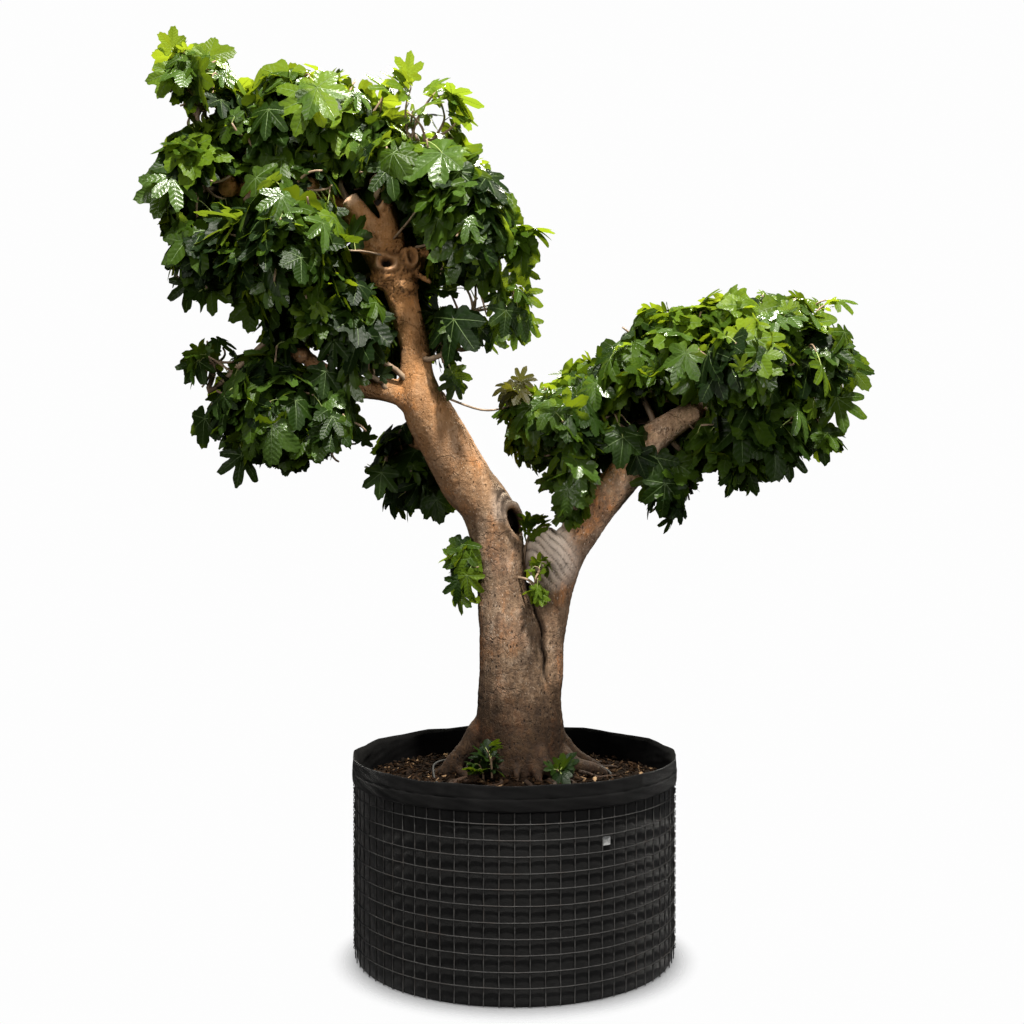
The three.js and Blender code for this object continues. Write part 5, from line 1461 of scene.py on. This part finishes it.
def cuff_mesh():
    """The folded top: inner wall, rounded rim, the band over the cage with its seam, and the hem."""
    foot = RIM_HEIGHT - CUFF_DROP
    seam = RIM_HEIGHT - 0.044
    inner = SOIL_RADIUS - 0.0005
    corners = [(inner + out, z) for out, z in (
        (0, 0.600), (0, 0.650), (0.003, 0.680), (0.009, 0.703), (0.015, 0.7135),
    )] + [(CUFF_RADIUS - inwards, z + up) for inwards, z, up in (
        (0.0048, RIM_HEIGHT, -0.0006), (0.0030, RIM_HEIGHT, 0), (0.0014, RIM_HEIGHT, -0.002),
        (0.0008, RIM_HEIGHT, -0.006), (0.0010, seam, 0.004), (0.0021, seam, 0.001), (0.0021, seam, -0.001),
        (0.0008, seam, -0.0035), (0.0014, foot, 0.010), (0.0018, foot, 0.0015), (0.0032, foot, 0),
        (0.0062, foot, 0.003), (0.0066, foot, 0.03),
    )]
    profile = [corners[0]]
    for near, far in zip(corners, corners[1:]):
        steps = max(1, math.ceil(math.dist(near, far) / 0.006))
        profile += [tuple(np.array(near) + (np.array(far) - near) * k / steps) for k in range(1, steps + 1)]
    kinks = np.radians([12, 47, 74, 94, 118, 152, 171, 199, 216, 243, 268, 285, 314, 341])

    def shift(angles, radius, z):
        near = np.abs((angles[:, None] - kinks[None] + math.pi) % (2 * math.pi) - math.pi).min(axis=1)
        flat = np.clip(near / 0.22, 0, 1) ** 0.9
        top = float(smoothstep(0.650, 0.708, np.array(z)))
        dip = -0.0060 * top * flat * (1 + 0.3 * uneven(angles, 3))
        crease = -0.0011 * (1 - uneven(angles + 8 * z, 12, ((11, 1.0), (29, 0.8), (67, 0.5))))
        rise = top * (0.004 - 0.005 * flat + 0.0012 * uneven(angles, 21, ((4, 1.0), (9, 0.7), (21, 0.5))))
        return dip + crease, rise

    return turned("rim_cuff", profile, CUFF_COLUMNS, shift), int(np.argmax([z for _, z in profile]))


def pot_cage():
    """All 72 uprights inside 12 hoops, welded where they cross; the uprights end below the last hoop."""
    random = np.random.default_rng(77)
    heap = Heap()
    heights = np.linspace(CAGE_FOOT, CAGE_TOP, 15)
    shape = (WIRES_ROUND, len(heights))
    radius = CAGE_RADIUS + 0.0004 + random.normal(0, 0.0007, shape)
    turn = turns(WIRES_ROUND)[:, None] + random.normal(0, 0.0009, shape)
    turn = turn + random.normal(0, 0.0012, (WIRES_ROUND, 1))
    add_tubes(heap, round_axis(radius, turn, heights), UPRIGHT_RADIUS, 8)
    steps = WIRES_ROUND * 3
    around = np.arange(steps + 1) * 2 * math.pi / steps
    for hoop in range(HOOPS):
        wave = 0.0014 * uneven(around, 30 + hoop, ((2, 1.0), (5, 0.6), (36, 0.35)))
        r = CAGE_RADIUS + 0.0036 + 0.0004 * uneven(around, 60 + hoop)
        wave[-1], r[-1] = wave[0], r[0]
        add_tubes(heap, round_axis(r, around, FIRST_HOOP + HOOP_PITCH * hoop + wave)[None], HOOP_RADIUS, 8)
    return heap


def cage_laces(heap):
    """Where the mesh's two halves meet, at both sides, short wires are twisted round the end uprights."""
    t = np.linspace(0, 1, 16)
    r = CAGE_RADIUS + 0.0030 + 0.0032 * np.sin(t * 4 * math.pi)
    for side in (84.0, 276.0):
        turn = math.radians(side) + (t - 0.5) * 0.034
        for row in range(23):
            z = 0.036 + row * 0.0265
            add_tubes(heap, round_axis(r, turn, z + 0.010 * np.sin(t * 2 * math.pi))[None], LACE_RADIUS, 6)


def tag_mesh():
    """A blank plate with rounded corners and a raised edge."""
    box_low, box_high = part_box("tag")
    middle = (box_low + box_high) / 2
    facing = math.atan2(middle.x, -middle.y)
    out = np.array((math.sin(facing), -math.cos(facing), 0.0))
    side = np.array((math.cos(facing), math.sin(facing), 0.0))
    width, height, round_ = 0.0165, 0.0145, 0.004  # half the plate's, and its corners' radius
    corner = []
    for start, (sx, sz) in zip((0, 90, 180, 270), ((1, 1), (-1, 1), (-1, -1), (1, -1))):
        for turn in np.radians(start + np.arange(0, 91, 22.5)):
            x, z = round_ * math.cos(turn), round_ * math.sin(turn)
            corner.append((sx * (width - round_) + x, sz * (height - round_) + z))
    corner = np.array(corner)
    rows = []
    for share, depth in (
        (1.0, -0.0006), (1.0, 0.0007), (0.96, 0.0012), (0.90, 0.0012), (0.86, 0.0007), (0.01, 0.0007),
    ):
        flat = corner * share
        rows.append(np.array(middle) + out * depth + side * flat[:, :1] + np.array((0, 0, 1)) * flat[:, 1:])
    heap = Heap()
    heap.add(np.array(rows), grid_faces(len(rows), len(corner), True), np.arange(len(corner))[None, ::-1])
    return heap


def soil_height(x, y):
    """The top of the soil: nearly level, lower at the edge, higher round the trunk."""
    r = np.hypot(x, y)
    near = np.hypot(x - TRUNK_FOOT[0], y - TRUNK_FOOT[1])
    return SOIL_HEIGHT - 0.010 * smoothstep(0.40, 0.56, r) + 0.014 * smoothstep(0.33, 0.15, near)


def soil_mesh():
    """The soil's rough top with a skirt down its edge."""
    rings, columns = 60, 220
    r, a = np.meshgrid(np.linspace(0.03, SOIL_RADIUS - 0.0008, rings), turns(columns), indexing="ij")
    points = round_axis(r, a, 0.0)
    for place in points.reshape(-1, 3):
        x, y = place[:2]
        lumps = 0.0075 * noise.noise(Vector((x * 24, y * 24, 0)))
        crumbs = 0.0045 * noise.noise(Vector((x * 70, y * 70, 3)))
        place[2] = soil_height(x, y) + (lumps + crumbs) - 0.004
    skirt = points[-1] - (0, 0, 0.05)
    heap = Heap()
    heap.add(np.vstack([points.reshape(-1, 3), skirt]), grid_faces(rings + 1, columns, True))
    return heap


def chips(seed, count, longest, flat, curl):
    """Bits of mulch: thin curled flakes of uneven outline, lying nearly flat on the soil."""
    random = np.random.default_rng(seed)
    r = SOIL_RADIUS * 0.985 * np.sqrt(random.uniform(0.02, 1, count))
    x, y, _ = round_axis(r, random.uniform(0, 2 * math.pi, count), 0).T[..., None]
    z = soil_height(x, y) + random.uniform(-0.003, 0.008, count)[:, None]
    size = longest * random.uniform(0.35, 1.0, count)[:, None] ** 1.5
    turn = random.uniform(0, 2 * math.pi, count)[:, None]
    tilt = random.normal(0, 0.30, (count, 2))
    sides = 7
    outline = random.uniform(0.65, 1.0, (count, sides))
    narrow = random.uniform(0.25, 0.75, count)[:, None]
    u = outline * np.cos(turns(sides)) * size / 2
    v = outline * np.sin(turns(sides)) * size / 2 * narrow
    bow = curl * random.uniform(-1, 1, count)[:, None] * (u / size) ** 2 * size
    px = u * np.cos(turn) - v * np.sin(turn)
    py = u * np.sin(turn) + v * np.cos(turn)
    pz = bow + tilt[:, :1] * u + tilt[:, 1:] * v
    thick = flat * size * random.uniform(0.6, 1.2, count)[:, None]
    points = np.stack([
        np.stack([x + px * share, y + py * share, z + pz + lift * thick], -1)
        for lift, share in ((-0.5, 0.9), (0.0, 1.0), (0.5, 0.88))
    ], 1)
    points = points[np.hypot(points[..., 0], points[..., 1]).max(axis=(1, 2)) < SOIL_RADIUS - 0.001]
    caps = np.stack([np.arange(sides)[::-1], 2 * sides + np.arange(sides)])
    heap = Heap()
    heap.add(points, *(copies(faces, len(points), 3 * sides) for faces in (grid_faces(3, sides, True), caps)))
    return heap


def soil_roots():
    """Thin roots that wander over the soil from the flare."""
    random = np.random.default_rng(314)
    heap = Heap()
    for number in range(17):
        angle = math.radians(number * 360 / 17 + random.uniform(-8, 8))
        start = 0.19 + random.uniform(0, 0.05)
        length = random.uniform(0.10, 0.24)
        stations = []
        for step in range(6):
            distance = start + length * step / 5
            angle += random.normal(0, 0.10)
            x = TRUNK_FOOT[0] + distance * math.cos(angle)
            y = TRUNK_FOOT[1] + distance * math.sin(angle)
            if math.hypot(x, y) > SOIL_RADIUS - 0.03:
                break
            sink = 0.004 if step < 4 else -0.008
            stations.append((x, y, float(soil_height(np.array(x), np.array(y))) + sink))
        if len(stations) < 3:
            continue
        path = curve_through(stations, np.linspace(0, 1, 22))
        thick = random.uniform(0.006, 0.013)
        add_limb(heap, path, np.linspace(thick, thick * 0.35, len(path)), 9, 0.2, 80 + number)
    return heap


def drip_hose():
    """A thin black hose that lies in a ring round the trunk, half sunk in the mulch."""
    a = np.linspace(0, 1, 141)[:-1] * 2 * math.pi
    r = 0.335 + 0.018 * np.sin(2 * a + 0.7) + 0.010 * np.sin(5 * a)
    x, y = TRUNK_FOOT[0] * 0.6 + r * np.sin(a), TRUNK_FOOT[1] * 0.35 - r * np.cos(a)
    path = np.stack([x, y, soil_height(x, y) + 0.0065 + 0.0085 * np.sin(3 * a + 1.1)], -1)
    heap = Heap()
    add_tubes(heap, np.vstack([path, path[:1]])[None], HOSE_RADIUS, 10)
    return heap


def make_pot():
    """The fabric, cage, plate, soil, mulch and hose."""
    piece("liner_wall", liner_mesh(), fabric_material("pot_fabric"), ["pot_liner"])
    skin, rim_row = cuff_mesh()
    piece("rim_cuff", skin, fabric_material("cuff_fabric", 0.45))
    # The same fabric inside the rim, darker and without shine: painted shade, as the inside lies in shade.
    black, dusty = (0.0009, 0.0009, 0.0010), (0.0042, 0.0041, 0.0041)
    painted_shade_lining = plain_material(
        "painted_shade_lining", (14, 6, 0.65), black, dusty, (0.85, 1.0), 0.002, Specular_IOR_Level=0.05,
    )
    skin.materials.append(painted_shade_lining)
    inside = np.arange(len(skin.polygons)) < CUFF_COLUMNS * rim_row
    skin.polygons.foreach_set("material_index", inside.astype(np.int32))
    cage = pot_cage()
    cage_laces(cage)
    piece("cage_wires", cage, wire_material(), ["wire_cage"])
    dull, bright = (0.15, 0.155, 0.155), (0.27, 0.275, 0.28)
    plate = plain_material(
        "tag_plate", (160, 4, 0.6), dull, bright, (0.4, 0.65), 0.0005, (0.3, 0.7), Metallic=0.2,
    )
    piece("tag_plate", tag_mesh(), plate, ["tag"])
    soil = mulch_material(
        "potting_soil", (0.0030, 0.0017, 0.0009), (0.0065, 0.0035, 0.0019), (0.015, 0.0082, 0.0043),
    )
    piece("soil_top", soil_mesh(), soil, ["soil"])
    for name, bits, colours in (
        ("mulch_brown", (11, 1500, 0.036, 0.14, 0.5),
         ((0.006, 0.0030, 0.0014), (0.015, 0.0074, 0.0033), (0.038, 0.020, 0.009))),
        ("mulch_pale", (12, 260, 0.034, 0.10, 0.9),
         ((0.07, 0.042, 0.022), (0.15, 0.092, 0.050), (0.28, 0.19, 0.11))),
        ("mulch_dark", (13, 1300, 0.030, 0.20, 0.4),
         ((0.0024, 0.0014, 0.0009), (0.0055, 0.0032, 0.0019), (0.012, 0.0066, 0.0038))),
    ):
        piece(name, chips(*bits), mulch_material(name, *colours))
    black, dusty = (0.004, 0.004, 0.004), (0.017, 0.016, 0.015)
    rubber = plain_material("hose", (50, 5, 0.6), black, dusty, (0.42, 0.75), 0.0008, Specular_IOR_Level=0.2)
    piece("drip_hose", drip_hose(), rubber)


# ---------------------------------------------------------------- the plant and its pot

bark = bark_material()
piece("bark_wood", wood_body(), bark, ["trunk", *LIMB_SPANS])
piece("soil_roots", soil_roots(), bark)
make_pot()
grow_foliage()


# ---------------------------------------------------------------- stage, light and camera

def make_stage():
    """A pale floor that fades into the white behind it."""
    heap = Heap()
    reach, z = 9.0, -0.0005
    heap.add([(-reach, -reach, z), (reach, -reach, z), (reach, reach, z), (-reach, reach, z)], [[0, 1, 2, 3]])
    floor = shown("floor", heap.mesh("floor"))
    paint = Paint("floor_paint", Roughness=0.9)
    grey = paint.ramp(paint.noise(0.7, 2, 0.5), (0.3, 0.50), (0.7, 0.53))
    paint.put(paint.shader.inputs["Base Color"], grey)
    shifted = paint.node("ShaderNodeVectorMath", {0: paint.place, 1: (0, 0.05, 0)}, operation="ADD")
    away = paint.node("ShaderNodeVectorMath", {0: shifted.outputs["Vector"]}, operation="LENGTH")
    fade = paint.span(away.outputs["Value"], 0.515, 0.670, interpolation_type="SMOOTHSTEP")
    paint.surface(paint.both(fade, paint.shader, paint.node("ShaderNodeBsdfTransparent")))
    floor.data.materials.append(paint.material)
    return floor


def make_world():
    """White behind, and a studio's light: bright above, dimmer from the sides and below."""
    world = bpy.data.worlds.new("studio")
    bpy.context.scene.world = world
    world.use_nodes = True
    nodes = Nodes(world.node_tree)
    nodes.tree.nodes.clear()
    rise = nodes.span(nodes.part(nodes.node("ShaderNodeTexCoord").outputs["Generated"], "Z"), -1, 1)
    stops = ((0.0, 0.16), (0.48, 0.24), (0.62, 0.5), (1.0, 1.1))
    sky = nodes.ramp(rise, *((at, (value * 0.97, value, value * 1.02)) for at, value in stops))
    light = nodes.node("ShaderNodeBackground", {"Color": sky, "Strength": 0.20})
    white = nodes.node("ShaderNodeBackground", {"Color": (1, 1, 1, 1), "Strength": 0.985})
    straight = nodes.node("ShaderNodeLightPath").outputs["Is Camera Ray"]
    nodes.node("ShaderNodeOutputWorld", {"Surface": nodes.both(straight, light, white)})


def add_area(name, place, target, size, power, colour=(1, 1, 1)):
    """A round lamp that faces a point."""
    data = bpy.data.lights.new(name, "AREA")
    data.shape, data.size, data.energy, data.color = "DISK", size, power, colour
    lamp = shown(name, data)
    lamp.location = place
    lamp.rotation_euler = (Vector(target) - Vector(place)).to_track_quat("-Z", "Y").to_euler()
    lamp.visible_camera = False
    return lamp


def shine_on(lamp, floor, state):
    """Lets a lamp reach the floor alone, or everything but the floor."""
    chosen = bpy.data.collections.new("reach of " + lamp.name)
    chosen.objects.link(floor)
    lamp.light_linking.receiver_collection = chosen
    chosen.collection_objects[0].light_linking.link_state = state


def make_lights(floor):
    """Four lamps for the tree and one for the floor alone."""
    for figures in (
        ("key", (0.6, -2.5, 7.5), (0, 0, 2.0), 0.45, 1430, (1.0, 0.965, 0.90)),
        ("back", (1.0, 3.6, 6.4), (0, 0, 2.2), 1.4, 1050, (1.0, 0.97, 0.84)),
        ("front", (-3.4, -5.6, 3.0), (0, 0, 1.3), 2.6, 190, (1.0, 0.965, 0.92)),
        ("right", (3.8, -4.6, 2.8), (0, 0, 1.5), 2.2, 160, (1.0, 0.975, 0.94)),
    ):
        shine_on(add_area(*figures), floor, "EXCLUDE")
    shine_on(add_area("overhead", (0, 0, 6.5), (0, 0, 0), 6.0, 920), floor, "INCLUDE")


def make_camera():
    """At the photograph's angle: eye height, five metres in front of the pot's axis."""
    data = bpy.data.cameras.new("camera")
    data.sensor_width = 36
    data.lens = data.sensor_width * FOCAL_LENGTH / PHOTO_SIDE
    camera = shown("camera", data)
    camera.location = EYE
    right, down = (at - PHOTO_SIDE / 2 for at in PHOTO_MIDDLE)
    camera.rotation_euler = (math.pi / 2 + math.atan(down / FOCAL_LENGTH), 0, math.atan(right / FOCAL_LENGTH))
    bpy.context.scene.camera = camera


floor = make_stage()
make_world()
make_lights(floor)
make_camera()
bpy.context.scene.view_settings.view_transform = "Standard"
bpy.context.scene.view_settings.look = "None"
